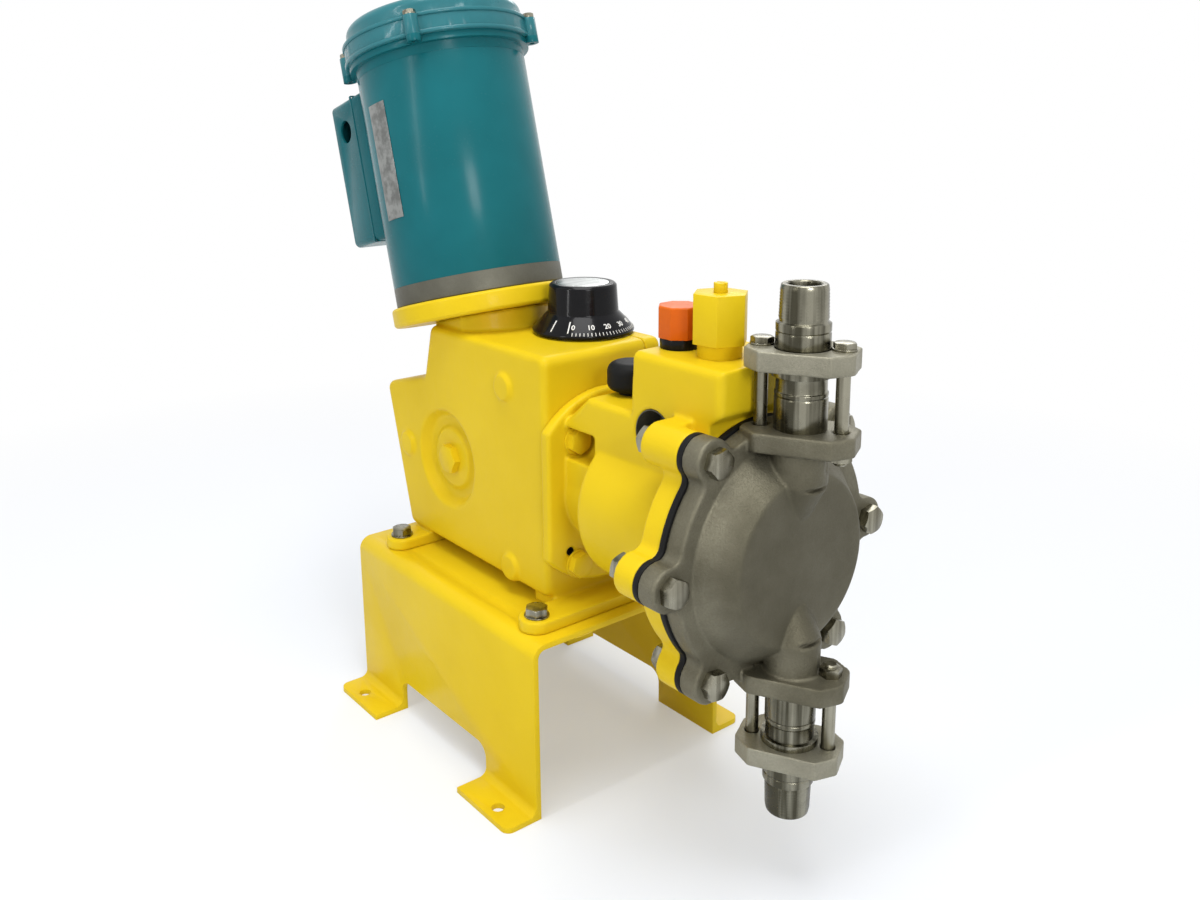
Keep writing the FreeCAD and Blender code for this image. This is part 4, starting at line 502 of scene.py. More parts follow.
@dataclass(frozen=True)
class Moulding(Finish):
    """Moulded plastic or rubber, with faint flow and scuffs.

    Attributes:
        roughness: Middle roughness.
        coat: Weight of the gloss.
        depth: Depth of the moulded texture in metres.
        specular: Level of the surface's own reflection.
    """

    roughness: float = 0.4
    coat: float = 0.0
    depth: float = 0.00002
    specular: float = 0.10

    def dress(self, graph: Graph) -> bpy.types.Material:
        """Add the moulding's scuffs, cloud and texture.

        Args:
            graph: The material's empty tree.

        Returns:
            The finished material.
        """
        scuffs = graph.ramp(graph.noise(160.0, 5.0, (1.0, 1.0, 3.0)), 0.52, 0.78)
        cloud = graph.ramp(graph.noise(30.0), 0.35, 0.70)
        return graph.finish(
            {
                "Base Color": graph.mix(cloud * 0.35 + scuffs * 0.30, self.light, self.dark),
                "Roughness": self.roughness + scuffs * 0.14,
                "Specular IOR Level": self.specular,
                "Coat Weight": self.coat * (1.0 - cloud * 0.10),
                "Coat Roughness": 0.08,
                "Normal": graph.bump(graph.noise(1400.0, 2.0), self.depth),
            }
        )


FINISHES: tuple[Finish, ...] = (
    Enamel(Slot.YELLOW_PAINT, (0.72, 0.51, 0.010), (0.64, 0.44, 0.008)),
    Enamel(
        Slot.TEAL_PAINT,
        (0.009, 0.136, 0.156),
        (0.006, 0.092, 0.104),
        roughness=0.17,
        grain=0.00002,
        coat=0.03,
    ),
    CastMetal(
        Slot.BARE_IRON,
        (0.125, 0.122, 0.094),
        (0.080, 0.076, 0.058),
        metallic=0.65,
        roughness=0.44,
        grain=0.00008,
    ),
    CastMetal(Slot.CAST_STAINLESS, (0.32, 0.305, 0.235), (0.185, 0.175, 0.130)),
    # The turned metals' dark colours are mostly the dark side of their painted reflection
    # streaking.
    TurnedMetal(Slot.TURNED_STAINLESS, (0.27, 0.258, 0.200), (0.032, 0.029, 0.017)),
    TurnedMetal(Slot.ZINC_STEEL, (0.34, 0.325, 0.255), (0.12, 0.11, 0.078), (1, 1, 4)),
    TurnedMetal(Slot.GEAR_STEEL, (0.50, 0.50, 0.50), (0.36, 0.36, 0.36)),
    TurnedMetal(Slot.CORE_STEEL, (0.34, 0.34, 0.35), (0.22, 0.22, 0.23)),
    TurnedMetal(Slot.COPPER, (0.70, 0.32, 0.14), (0.42, 0.17, 0.07), (1, 1, 30)),
    TurnedMetal(Slot.BRONZE, (0.62, 0.40, 0.16), (0.40, 0.25, 0.10)),
    Moulding(Slot.BLACK_RUBBER, (0.008, 0.008, 0.008), (0.017, 0.017, 0.016), 0.50),
    Moulding(Slot.WHITE_PLASTIC, (0.80, 0.79, 0.76), (0.70, 0.69, 0.66), 0.45),
    Moulding(Slot.BLACK_PLASTIC, (0.005, 0.005, 0.006), (0.010, 0.010, 0.012), 0.16, 0.10),
    Moulding(Slot.ORANGE_PLASTIC, (0.64, 0.120, 0.006), (0.55, 0.095, 0.006), 0.34, 0.08),
    TurnedMetal(
        Slot.BRIGHT_PLATE, (0.60, 0.62, 0.61), (0.40, 0.42, 0.41), (1, 30, 1), (1, 0.04, 1), 0.30
    ),
)

# Darker copy of the cast stainless for the liquid head: its darkness and the round patch on the
# head's face are painted shade.
HEAD_PAINTED_SHADE_FINISH = CastMetal(
    Slot.CAST_STAINLESS,
    (0.195, 0.182, 0.130),
    (0.090, 0.082, 0.054),
    stain_centre=(0.335, 0.0, 0.258),
    stain_reach=(0.052, 0.080),
)
# Lighter, glossier copy of the motor's teal paint for the fan cover and its beads; its extra
# lightness is painted highlight.
COVER_PAINTED_HIGHLIGHT_FINISH = Enamel(
    Slot.TEAL_PAINT,
    (0.028, 0.180, 0.205),
    (0.015, 0.125, 0.145),
    roughness=0.22,
    grain=0.00004,
    coat=0.30,
    specular=0.2,
)
PLATE_FINISH = TurnedMetal(
    Slot.BRIGHT_PLATE, (0.30, 0.31, 0.30), (0.15, 0.155, 0.15), (1, 30, 1), (1, 0.04, 1), 0.34
)


def edge_angle(edge: bmesh.types.BMEdge) -> float:
    """Angle between an edge's two faces, or 0 where it hasn't two."""
    return edge.calc_face_angle(0.0) if len(edge.link_faces) == 2 else 0.0


def bevel_sharp(bm: bmesh.types.BMesh, width: float, segments: int = 2) -> None:
    """Round every sharp edge of a shape.

    Args:
        bm: The shape.
        width: Width of the rounding.
        segments: Faces across it.
    """
    edges = [edge for edge in bm.edges if edge_angle(edge) > BEVEL_ANGLE]
    bmesh.ops.bevel(
        bm,
        geom=edges,
        offset=width,
        offset_type="OFFSET",
        segments=segments,
        profile=0.5,
        affect="EDGES",
        clamp_overlap=True,
        material=-1,
    )


def lathe(
    profile: Profile, place: Matrix, width: float = 0.0, steps: int = 96, ring: bool = False
) -> bmesh.types.BMesh:
    """Turn a profile about the local Z axis.

    Args:
        profile: Radius and height of each point, in order.
        place: Where the axis goes.
        width: Width of the rounding on its sharp edges.
        steps: Faces round the axis.
        ring: Whether the profile closes on itself.

    Returns:
        The closed shape.
    """
    bm = bmesh.new()
    verts = [bm.verts.new((radius, 0.0, height)) for radius, height in profile]
    pairs = list(zip(verts, verts[1:]))
    if ring:
        pairs.append((verts[-1], verts[0]))
    edges = [bm.edges.new(pair) for pair in pairs]
    bmesh.ops.spin(
        bm,
        geom=verts + edges,
        cent=(0, 0, 0),
        axis=(0, 0, 1),
        angle=math.tau,
        steps=steps,
        use_merge=True,
        use_duplicate=False,
    )
    bmesh.ops.remove_doubles(bm, verts=bm.verts, dist=TINY)
    bmesh.ops.recalc_face_normals(bm, faces=bm.faces)
    if width:
        bevel_sharp(bm, width)
    bmesh.ops.transform(bm, matrix=place, verts=bm.verts)
    return bm


def block(size: Triple, place: Matrix, width: float) -> bmesh.types.BMesh:
    """Make a block with rounded edges, centred on its place.

    Args:
        size: Its three sides.
        place: Where it goes.
        width: Width of the rounding.

    Returns:
        The closed shape.
    """
    bm = bmesh.new()
    bmesh.ops.create_cube(bm, size=1.0)
    bmesh.ops.scale(bm, vec=size, verts=bm.verts)
    bevel_sharp(bm, width)
    bmesh.ops.transform(bm, matrix=place, verts=bm.verts)
    return bm


def hex_prism(flats: float, height: float, place: Matrix, turn: float = 0.0) -> bmesh.types.BMesh:
    """Make a hexagonal head or nut with the round chamfer of a turned one.

    Args:
        flats: Size across the flats.
        height: Height along local Z, from 0.
        place: Where it goes.
        turn: Angle about its own axis.

    Returns:
        The closed shape.
    """
    bm = bmesh.new()
    corner = flats / math.sqrt(3)
    bmesh.ops.create_cone(
        bm, cap_ends=True, segments=6, radius1=corner, radius2=corner, depth=height
    )
    bmesh.ops.translate(bm, vec=(0, 0, height / 2), verts=bm.verts)
    top = [e for e in bm.edges if all(v.co.z > height - TINY for v in e.verts)]
    bmesh.ops.subdivide_edges(bm, edges=top, cuts=HEX_CUTS)
    lid = next(f for f in bm.faces if all(v.co.z > height - TINY for v in f.verts))
    rim = list(lid.verts)
    flat = flats * HEX_TOP
    bmesh.ops.inset_individual(bm, faces=[lid], thickness=flats * HEX_INSET)
    for vert in lid.verts:
        vert.co.xy = vert.co.xy.normalized() * flat
    for vert in rim:
        vert.co.z -= (vert.co.xy.length - flat) * HEX_SLOPE
    bmesh.ops.recalc_face_normals(bm, faces=bm.faces)
    bmesh.ops.transform(bm, matrix=place @ Matrix.Rotation(turn, 4, "Z"), verts=bm.verts)
    return bm


def cup(
    radius: float, start: float, end: float, wall: float, place: Matrix, steps: int
) -> bmesh.types.BMesh:
    """Make a thin cup, as the lining of a hole.

    Args:
        radius: Its outer radius.
        start: Height of its floor.
        end: Height of its rim.
        wall: Thickness of its wall and floor.
        place: Where its axis goes.
        steps: Faces round the axis.

    Returns:
        The closed shape.
    """
    inner, floor = radius - wall, start + wall
    outside = [(0, start), (radius, start), (radius, end)]
    return lathe(outside + [(inner, end), (inner, floor), (0, floor)], place, steps=steps)


def used_up(name: str, bm: bmesh.types.BMesh) -> bpy.types.Mesh:
    """Turn a shape into a mesh and free it.

    Args:
        name: The mesh's name.
        bm: The shape.

    Returns:
        The mesh.
    """
    mesh = bpy.data.meshes.new(name)
    bm.to_mesh(mesh)
    bm.free()
    return mesh


def linked(name: str, data: bpy.types.ID) -> bpy.types.Object:
    """Put a new object with its data into the scene.

    Args:
        name: The object's name.
        data: Its mesh, curve, camera or lamp.

    Returns:
        The object.
    """
    made = bpy.data.objects.new(name, data)
    bpy.context.scene.collection.objects.link(made)
    return made


def joined(parts: Iterable[bmesh.types.BMesh]) -> bmesh.types.BMesh:
    """Put several shapes into one.

    Args:
        parts: The shapes, which are used up.

    Returns:
        One shape of them all.
    """
    whole = bmesh.new()
    for part in parts:
        mesh = used_up("part", part)
        whole.from_mesh(mesh)
        bpy.data.meshes.remove(mesh)
    return whole


def facing(point: Vector, way: Vector) -> Matrix:
    """Place whose origin is a point and whose Z axis looks one way."""
    return Matrix.Translation(point) @ way.to_track_quat("Z", "Y").to_matrix().to_4x4()


class Workshop:
    """Keeps the frame and the finishes, and turns shapes into pieces of the pump."""

    def __init__(self) -> None:
        """Load the frame and make every finish."""
        self.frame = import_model()
        self.start_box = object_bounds()
        self.finishes = {finish.slot: finish.build() for finish in FINISHES}
        joints = {joint["name"]: joint for joint in self.frame["joints"]}
        spin = joints["motor_spin"]
        axis = Vector(spin["axis"]).normalized()
        across = Vector((0, 1, 0)).cross(axis)
        columns = Matrix((across, Vector((0, 1, 0)), axis)).transposed()
        self.motor_place = Matrix.Translation(Vector(spin["pos_m"])) @ columns.to_4x4()
        self.pump_height = joints["crank_spin"]["pos_m"][2]
        low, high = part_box("discharge_seat")
        self.valve_x = (low.x + high.x) / 2

    def paint_nodes(self) -> None:
        """Give every CAD node the finish of its slot in the record."""
        for subpart in self.frame["record"]["subparts"]:
            node = self.frame["nodes"][subpart["node"]]
            node.data.materials.clear()
            node.data.materials.append(self.finishes[Slot(subpart["material_slot"])])

    def copy_of(self, node: str) -> bmesh.types.BMesh:
        """Copy a CAD node's mesh, with its doubles merged.

        Args:
            node: The CAD node.

        Returns:
            The copy, which is the caller's to free.
        """
        bm = bmesh.new()
        bm.from_mesh(self.frame["nodes"][node].data)
        bmesh.ops.remove_doubles(bm, verts=bm.verts, dist=TINY)
        return bm

    def solids(self, node: str, place: Matrix) -> list[tuple[Vector, Vector]]:
        """Find the lowest and highest corner of each separate solid of a CAD node.

        Args:
            node: The CAD node.
            place: Axes that the corners are measured in.

        Returns:
            One pair of corners for each solid.
        """
        bm = self.copy_of(node)
        bmesh.ops.transform(bm, matrix=place.inverted(), verts=bm.verts)
        left = set(bm.verts)
        boxes = []
        while left:
            front = [left.pop()]
            points = []
            while front:
                vert = front.pop()
                points.append(vert.co.copy())
                near = {edge.other_vert(vert) for edge in vert.link_edges} & left
                left -= near
                front.extend(near)
            low, high = (
                Vector([limit(point[axis] for point in points) for axis in range(3)])
                for limit in (min, max)
            )
            boxes.append((low, high))
        bm.free()
        return sorted(boxes, key=lambda pair: tuple(pair[0]))

    def bolt_places(self, node: str, way: Vector, head: float) -> list[tuple[Matrix, float]]:
        """Find where each bolt of a CAD node goes.

        Args:
            node: The CAD node.
            way: Axis that the heads look along.
            head: Height of the heads.

        Returns:
            The place under each head, and the length below it.
        """
        found = []
        for low, high in self.solids(node, Matrix()):
            reach = abs((high - low).dot(way))
            under = (low + high) / 2 + way * (reach / 2 - head)
            found.append((facing(under, way), reach - head))
        return found

    def bolt_set(self, name: str, node: str, slot: Slot, bolt: "HexBolt", way: Vector) -> None:
        """Stand detailed bolts for a CAD node of bolts that look one way.

        Args:
            name: The piece's name.
            node: The CAD node.
            slot: The finish.
            bolt: The kind of bolt.
            way: Axis that the heads look along.
        """
        shapes = []
        for place, length in self.bolt_places(node, way, bolt.head):
            shapes += bolt.shapes(place, length)
        self.add(name, joined(shapes), slot, (node,))

    def add(
        self,
        name: str,
        bm: bmesh.types.BMesh,
        slot: Slot,
        replaces: Sequence[str] = (),
        body: Body = Body.FRAME,
        finish: Finish | None = None,
    ) -> bpy.types.Object:
        """Make a piece from a shape and let it ride on its body.

        Args:
            name: The piece's name.
            bm: The shape, which is used up.
            slot: The finish.
            replaces: CAD nodes that it stands for.
            body: The body that it rides on.
            finish: The piece's own finish, where it isn't the slot's usual one.

        Returns:
            The piece.
        """
        mesh = used_up(name, bm)
        mesh.shade_smooth()
        mesh.set_sharp_from_angle(angle=SMOOTH_ANGLE)
        mesh.materials.append(finish.build() if finish else self.finishes[slot])
        piece = linked(name, mesh)
        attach(piece, body.value)
        if replaces:
            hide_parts(*replaces)
        log.info("%s: %d faces", name, len(mesh.polygons))
        return piece

    def cast(
        self,
        name: str,
        node: str,
        slot: Slot,
        grid: float,
        passes: int,
        share: float = 1.0,
        finish: Finish | None = None,
        cutter: bmesh.types.BMesh | None = None,
    ) -> bpy.types.Object:
        """Stand a softened skin for a CAD node, with the rounded edges of a casting.

        Args:
            name: The piece's name.
            node: The CAD node.
            slot: The finish.
            grid: Size of the skin's cells.
            passes: Smoothing passes.
            share: Share of the faces that is kept.
            finish: The piece's own finish, where it isn't the slot's usual one.
            cutter: A shape that is cut away first.

        Returns:
            The piece.
        """
        piece = self.add(name, self.copy_of(node), slot, (node,), finish=finish)
        tool = None
        if cutter is not None:
            tool = linked("cutter", used_up("cutter", cutter))
            cut = piece.modifiers.new("cut", "BOOLEAN")
            cut.operation = "DIFFERENCE"
            cut.solver = "EXACT"
            cut.object = tool
        skin = piece.modifiers.new("skin", "REMESH")
        skin.mode = "VOXEL"
        skin.voxel_size = grid
        soften = piece.modifiers.new("soften", "SMOOTH")
        soften.factor = 0.5
        soften.iterations = passes
        if share < 1.0:
            thin = piece.modifiers.new("thin", "DECIMATE")
            thin.ratio = share
        self.settle(piece)
        if tool is not None:
            bpy.data.objects.remove(tool)
        return piece

    @staticmethod
    def settle(piece: bpy.types.Object) -> None:
        """Apply a piece's modifiers to its mesh.

        Args:
            piece: The piece.
        """
        graph = bpy.context.evaluated_depsgraph_get()
        mesh = bpy.data.meshes.new_from_object(piece.evaluated_get(graph))
        old = piece.data
        piece.modifiers.clear()
        piece.data = mesh
        mesh.name = old.name
        bpy.data.meshes.remove(old)
        mesh.shade_smooth()
        log.info("%s: %d faces after its modifiers", piece.name, len(mesh.polygons))

    def crisp(
        self,
        name: str,
        node: str,
        slot: Slot,
        width: float,
        body: Body = Body.FRAME,
        finish: Finish | None = None,
    ) -> bpy.types.Object:
        """Stand a copy with lightly broken edges for a CAD node.

        Args:
            name: The piece's name.
            node: The CAD node.
            slot: The finish.
            width: Width of the broken edges.
            body: The body that it rides on.
            finish: The piece's own finish, where it isn't the slot's usual one.

        Returns:
            The piece.
        """
        bm = self.copy_of(node)
        bmesh.ops.dissolve_limit(bm, angle_limit=FLAT_ANGLE, verts=bm.verts, edges=bm.edges)
        bevel_sharp(bm, width)
        return self.add(name, bm, slot, (node,), body, finish)


@dataclass
class HexBolt:
    """A bolt along local Z, with z at 0 under its head.

    Attributes:
        flats: Size across the flats of its head and nut.
        head: Height of the head, with its washer.
        shank: Radius of the shank.
        washer: Radius of the washer under the head, or 0 for none.
        grip: Depth of the nut's near face below the head, or 0 for no nut.
        nut_height: Height of the nut.
        pitch: Thread pitch of the end that shows, or 0 for a plain end.
        washer_height: Thickness of the washer.
    """

    flats: float
    head: float
    shank: float
    washer: float = 0.0
    grip: float = 0.0
    nut_height: float = 0.0
    pitch: float = 0.0
    washer_height: float = 0.0015

    def shapes(self, place: Matrix, length: float) -> list[bmesh.types.BMesh]:
        """Make the bolt's separate shapes.

        Args:
            place: Where it goes.
            length: Length below the head.

        Returns:
            Head, shank, and the washer and nut where it has them.
        """
        turn = place.translation.dot(TURN_SPREAD)
        rise = self.washer_height if self.washer else 0.0
        lift = Matrix.Translation((0, 0, rise))
        made = [hex_prism(self.flats, self.head - rise, place @ lift, turn)]
        made.append(lathe(self._shank_profile(length), place, steps=32))
        if self.washer:
            ring = [(0, 0), (self.washer, 0), (self.washer, rise), (0, rise)]
            made.append(lathe(ring, place, FINE_EDGE, steps=40))
        if self.grip:
            flip = Matrix.Translation((0, 0, -self.grip)) @ HALF_TURN
            made.append(hex_prism(self.flats, self.nut_height, place @ flip, turn + NUT_TURN))
        return made

    def _shank_profile(self, length: float) -> list[tuple[float, float]]:
        """Profile of the shank from under the head to its chamfered end.

        Args:
            length: Length below the head.

        Returns:
            Its radii and heights.
        """
        chamfer = self.shank * 0.2
        profile = [(0, OVERLAP), (self.shank, OVERLAP)]
        if self.pitch:
            count = int((length - self.grip - chamfer) / self.pitch)
            depth = self.pitch * 0.5
            for turn in range(count):
                height = -self.grip - turn * self.pitch
                profile.append((self.shank, height))
                profile.append((self.shank - depth, height - self.pitch / 2))
        profile += [(self.shank, chamfer - length), (self.shank - chamfer, -length), (0, -length)]
        return profile


@dataclass
class Stand:
    """Bent sheet stand and the bolts that hold the gearbox on it."""

    shop: Workshop
    edge: float = 0.0007
    bolt: HexBolt = field(
        default_factory=lambda: HexBolt(0.017, 0.008, 0.005, 0.0104, 0.0154, 0.008, 0.0015)
    )

    def build(self) -> None:
        """Dress the stand and its bolts."""
        self.shop.crisp("stand_sheet", "stand", Slot.YELLOW_PAINT, self.edge)
        self.shop.bolt_set("lug_bolt_set", "lug_bolts", Slot.ZINC_STEEL, self.bolt, UP)


@dataclass
class Gearbox:
    """Cast gearbox with its cover, plug and painted bolts."""

    shop: Workshop
    castings: tuple[tuple[str, str], ...] = (
        ("gearbox_casting", "gearbox_housing"),
        ("gearbox_cover", "side_cover"),
    )
    grid: float = 0.0014
    passes: int = 4
    share: float = 0.45
    plug_flats: float = 0.024
    plug_height: float = 0.007
    cover_bolt: HexBolt = field(default_factory=lambda: HexBolt(0.014, 0.0065, 0.003, 0.0082))

    def build(self) -> None:
        """Dress the housing, the cover, the plug and the bolts."""
        for name, node in self.castings:
            self.shop.cast(name, node, Slot.YELLOW_PAINT, self.grid, self.passes, self.share)
        self._plug()
        self.shop.bolt_set(
            "cover_bolt_set", "cover_bolts", Slot.YELLOW_PAINT, self.cover_bolt, Vector((0, 1, 0))
        )

    def _plug(self) -> None:
        """Hexagon plug in the middle of the side recess."""
        low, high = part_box("inspection_plug")
        centre = (low + high) / 2
        base = low.y + self.plug_height
        place = facing(Vector((centre.x, base, centre.z)), Vector((0, -1, 0)))
        depth = high.y - base
        thread = self.plug_flats / 3
        stem = [(0, -depth), (thread, -depth), (thread, OVERLAP), (0, OVERLAP)]
        head = hex_prism(self.plug_flats, self.plug_height, place, math.pi / 6)
        plug = joined((head, lathe(stem, place, steps=32)))
        self.shop.add("recess_plug", plug, Slot.YELLOW_PAINT, ("inspection_plug",))


@dataclass
class Motor:
    """Face-mounted motor on its tilted disc, in the motor's own upright axes."""

    shop: Workshop
    edge: float = 0.0008
    lip: float = 0.0013
    socket_key: float = 0.004
    socket_depth: float = 0.0045
    socket_rim: float = 0.0006
    socket_shank: float = 0.7
    socket_seat: float = 1.1
    drill_cone: float = 0.001
    bead_heights: tuple[float, float] = (0.2262, 0.2415)
    bead_radius: float = 0.086
    bead_rise: float = 0.0014
    bead_height: float = 0.0036
    bead_depth: float = 0.0015
    box_edge: float = 0.0018
    plate_edge: float = 0.0002
    seam_inset: float = 0.043
    seam_rise: float = 0.0028
    seam_width: float = 0.0012
    seam_edge: float = 0.0004
    screw_inset: float = 0.010
    pan_head: Profile = (
        (0, -OVERLAP),
        (0.0038, -OVERLAP),
        (0.0038, 0.0008),
        (0.0026, 0.0016),
        (0, 0.0018),
    )
    cover_bolt: HexBolt = field(default_factory=lambda: HexBolt(0.010, 0.0045, 0.0025, 0.0058))

    def build(self) -> None:
        """Dress the motor from its disc up to the fan cover."""
        self.shop.crisp("motor_disc", "motor_adapter", Slot.YELLOW_PAINT, self.edge)
        self.shop.crisp("drive_bell", "drive_end_bell", Slot.BARE_IRON, self.edge)
        self.shop.crisp("motor_shell", "motor_frame", Slot.TEAL_PAINT, self.edge)
        self.shop.crisp("fan_bell", "fan_end_bell", Slot.TEAL_PAINT, self.lip)
        # The fan cover takes the lighter teal, which paints its highlights.
        self.shop.crisp("fan_cap", "fan_cover", Slot.TEAL_PAINT, self.lip, finish=COVER_PAINTED_HIGHLIGHT_FINISH)
        self.shop.crisp("wiring_box", "conduit_box", Slot.TEAL_PAINT, self.box_edge)
        self.shop.crisp(
            "rating_plate", "nameplate", Slot.BRIGHT_PLATE, self.plate_edge, finish=PLATE_FINISH
        )
        beads = [self._bead(height) for height in self.bead_heights]
        # The beads' lighter teal is painted highlight.
        self.shop.add("cover_beads", joined(beads), Slot.TEAL_PAINT, finish=COVER_PAINTED_HIGHLIGHT_FINISH)
        self._box_trim()
        self._screws()

    def _bead(self, height: float) -> bmesh.types.BMesh:
        """Rolled lip round the fan cover.

        Args:
            height: Its height along the motor's axis.

        Returns:
            The closed ring.
        """
        inner = self.bead_radius - self.bead_depth
        outer = self.bead_radius + self.bead_rise
        top = height + self.bead_height
        profile = [(inner, height), (outer, height), (outer, top), (inner, top)]
        return lathe(profile, self.shop.motor_place, self.bead_rise * 0.9, 128, ring=True)

    def _box_trim(self) -> None:
        """Raised seam of the wiring box's lid, and the lid's screws."""
        low, high = self.shop.solids("conduit_box", self.shop.motor_place)[0]
        middle = (low + high) / 2
        width, length = high.y - low.y, high.z - low.z
        seam = low.x + self.seam_inset
        rise, thick = self.seam_rise, self.seam_width
        shapes = []
        for sign in (-1, 1):
            side = Matrix.Translation((seam, middle.y + sign * width / 2, middle.z))
            end = Matrix.Translation((seam, middle.y, middle.z + sign * length / 2))
            for size, spot in (((rise, thick, length), side), ((rise, width, thick), end)):
                shapes.append(block(size, self.shop.motor_place @ spot, self.seam_edge))
        self.shop.add("box_seam", joined(shapes), Slot.TEAL_PAINT)
        heads = []
        for along in (low.z + self.screw_inset, high.z - self.screw_inset):
            for sign in (-1, 1):
                across = middle.y + sign * (width / 2 - self.screw_inset)
                face = self.shop.motor_place @ Vector((low.x, across, along))
                way = self.shop.motor_place.to_3x3() @ -AHEAD
                heads.append(lathe(self.pan_head, facing(face, way), FINE_EDGE, 32))
        self.shop.add("box_screws", joined(heads), Slot.ZINC_STEEL)

    def _screws(self) -> None:
        """Socket screws sunk in the disc, and small bolts on the fan cover's lugs."""
        place = self.shop.motor_place
        level = place.inverted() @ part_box("motor_frame")[1]
        shapes = []
        for low, high in self.shop.solids("motor_bolts", place):
            centre = (low + high) / 2
            # The lugs' bolts stand above the motor's middle, the socket screws in its disc.
            if low.z > level.z / 2:
                under = high.z - self.cover_bolt.head
                spot = place @ Matrix.Translation((centre.x, centre.y, under))
                shapes += self.cover_bolt.shapes(spot, under - low.z)
            else:
                spot = place @ Matrix.Translation((centre.x, centre.y, 0))
                profile = self._socket_profile(low.z, high.z, high.x - low.x)
                shapes.append(lathe(profile, spot, steps=40))
        self.shop.add("motor_bolt_set", joined(shapes), Slot.ZINC_STEEL, ("motor_bolts",))

    def _socket_profile(self, start: float, end: float, width: float) -> list[tuple[float, float]]:
        """Outline of a socket screw with its head at the start.

        Args:
            start: Height of the head's open face.
            end: Height of the shank's end.
            width: Width of the head.

        Returns:
            Its radii and heights.
        """
        radius = width / 2
        shank = radius * self.socket_shank
        seat = start + radius * self.socket_seat
        rim, floor = self.socket_rim, start + self.socket_depth
        socket = [(0, floor), (self.socket_key, floor - self.drill_cone), (self.socket_key, start)]
        head = [(radius - rim, start), (radius, start + rim), (radius, seat)]
        return socket + head + [(shank, seat), (shank, end), (0, end)]


@dataclass
class HydraulicBody:
    """Yellow casting between gearbox and head, with its bolts, and dark linings in its pockets and
    drain hole that paint their shade.
    """

    shop: Workshop
    grid: float = 0.0013
    passes: int = 4
    share: float = 0.6
    bolt: HexBolt = field(default_factory=lambda: HexBolt(0.019, 0.008, 0.005, 0.0122))
    pocket_x: float = 0.2175
    pocket_rise: float = 0.0755
    pocket_radius: float = 0.0192
    pocket_start: float = 0.0193
    pocket_end: float = 0.0442
    skin: float = 0.0006
    slot_size: Triple = (0.0358, 0.020, 0.026)
    slot_place: Triple = (0.1324, 0.044, 0.303)
    drain_place: Triple = (0.1068, -0.041, 0.208)
    drain_radius: float = 0.0034
    drain_depth: float = 0.0070

    def build(self) -> None:
        """Dress the casting, the bolts of its rear flange and its pockets."""
        skin = (self.grid, self.passes, self.share)
        slots = joined(self._slot(side) for side in (-1, 1))
        self.shop.cast(
            "hydraulic_casting", "hydraulic_body", Slot.YELLOW_PAINT, *skin, cutter=slots
        )
        self.shop.bolt_set(
            "rear_flange_bolts", "hydraulic_body_bolts", Slot.YELLOW_PAINT, self.bolt, AHEAD
        )
        # Painted shade: dark linings in the nut pockets.
        shade_linings = [self._lining(side) for side in (-1, 1)]
        self.shop.add("pocket_shade_linings", joined(shade_linings), Slot.BARE_IRON)
        # Painted shade: a black cup in the drain hole.
        self.shop.add("drain_shade_lining", self._drain(), Slot.BLACK_RUBBER)

    def _slot(self, side: int) -> bmesh.types.BMesh:
        """Opening in the casting's side that lets a spanner reach an upper flange bolt."""
        across, along, height = self.slot_place
        return block(self.slot_size, Matrix.Translation((across, side * along, height)), 0.0005)

    def _drain(self) -> bmesh.types.BMesh:
        """Black cup in the small drain hole under the pump axis, which paints the hole's shade."""
        place = facing(Vector(self.drain_place), AHEAD)
        return cup(self.drain_radius, 0.0, self.drain_depth, self.skin, place, 32)

    def _lining(self, side: int) -> bmesh.types.BMesh:
        """Bare iron wall and floor of one nut pocket, whose dark colour also paints the pocket's
        shade.

        Args:
            side: 1 for the far side, -1 for the near one.

        Returns:
            The closed shape.
        """
        centre = Vector((self.pocket_x, 0, self.shop.pump_height + self.pocket_rise))
        place = facing(centre, Vector((0, side, 0)))
        return cup(self.pocket_radius, self.pocket_start, self.pocket_end, self.skin, place, 64)


@dataclass
class LiquidHead:
    """Round cast head with its clamp ring and six bolts."""

    shop: Workshop
    grid: float = 0.0011
    passes: int = 4
    share: float = 0.6
    edge: float = 0.0006
    bolt: HexBolt = field(default_factory=lambda: HexBolt(0.019, 0.008, 0.00635, pitch=0.0016))
    nut_height: float = 0.011

    def build(self) -> None:
        """Dress the head, the ring and the bolts."""
        skin = (self.grid, self.passes, self.share)
        # The head takes the darker copy of the cast stainless, which paints shade on its face.
        self.shop.cast("head_casting", "liquid_head", Slot.CAST_STAINLESS, *skin, HEAD_PAINTED_SHADE_FINISH)
        self.shop.crisp("head_ring", "clamp_ring", Slot.BLACK_RUBBER, self.edge)
        self.shop.bolt_set("head_bolt_set", "head_bolts", Slot.ZINC_STEEL, self.bolt, AHEAD)
        nuts = []
        for place, _ in self.shop.bolt_places("head_nuts", AHEAD, 0.0):
            turn = place.translation.dot(TURN_SPREAD)
            nuts.append(hex_prism(self.bolt.flats, self.nut_height, place @ HALF_TURN, turn))
        self.shop.add("head_nut_set", joined(nuts), Slot.ZINC_STEEL, ("head_nuts",))


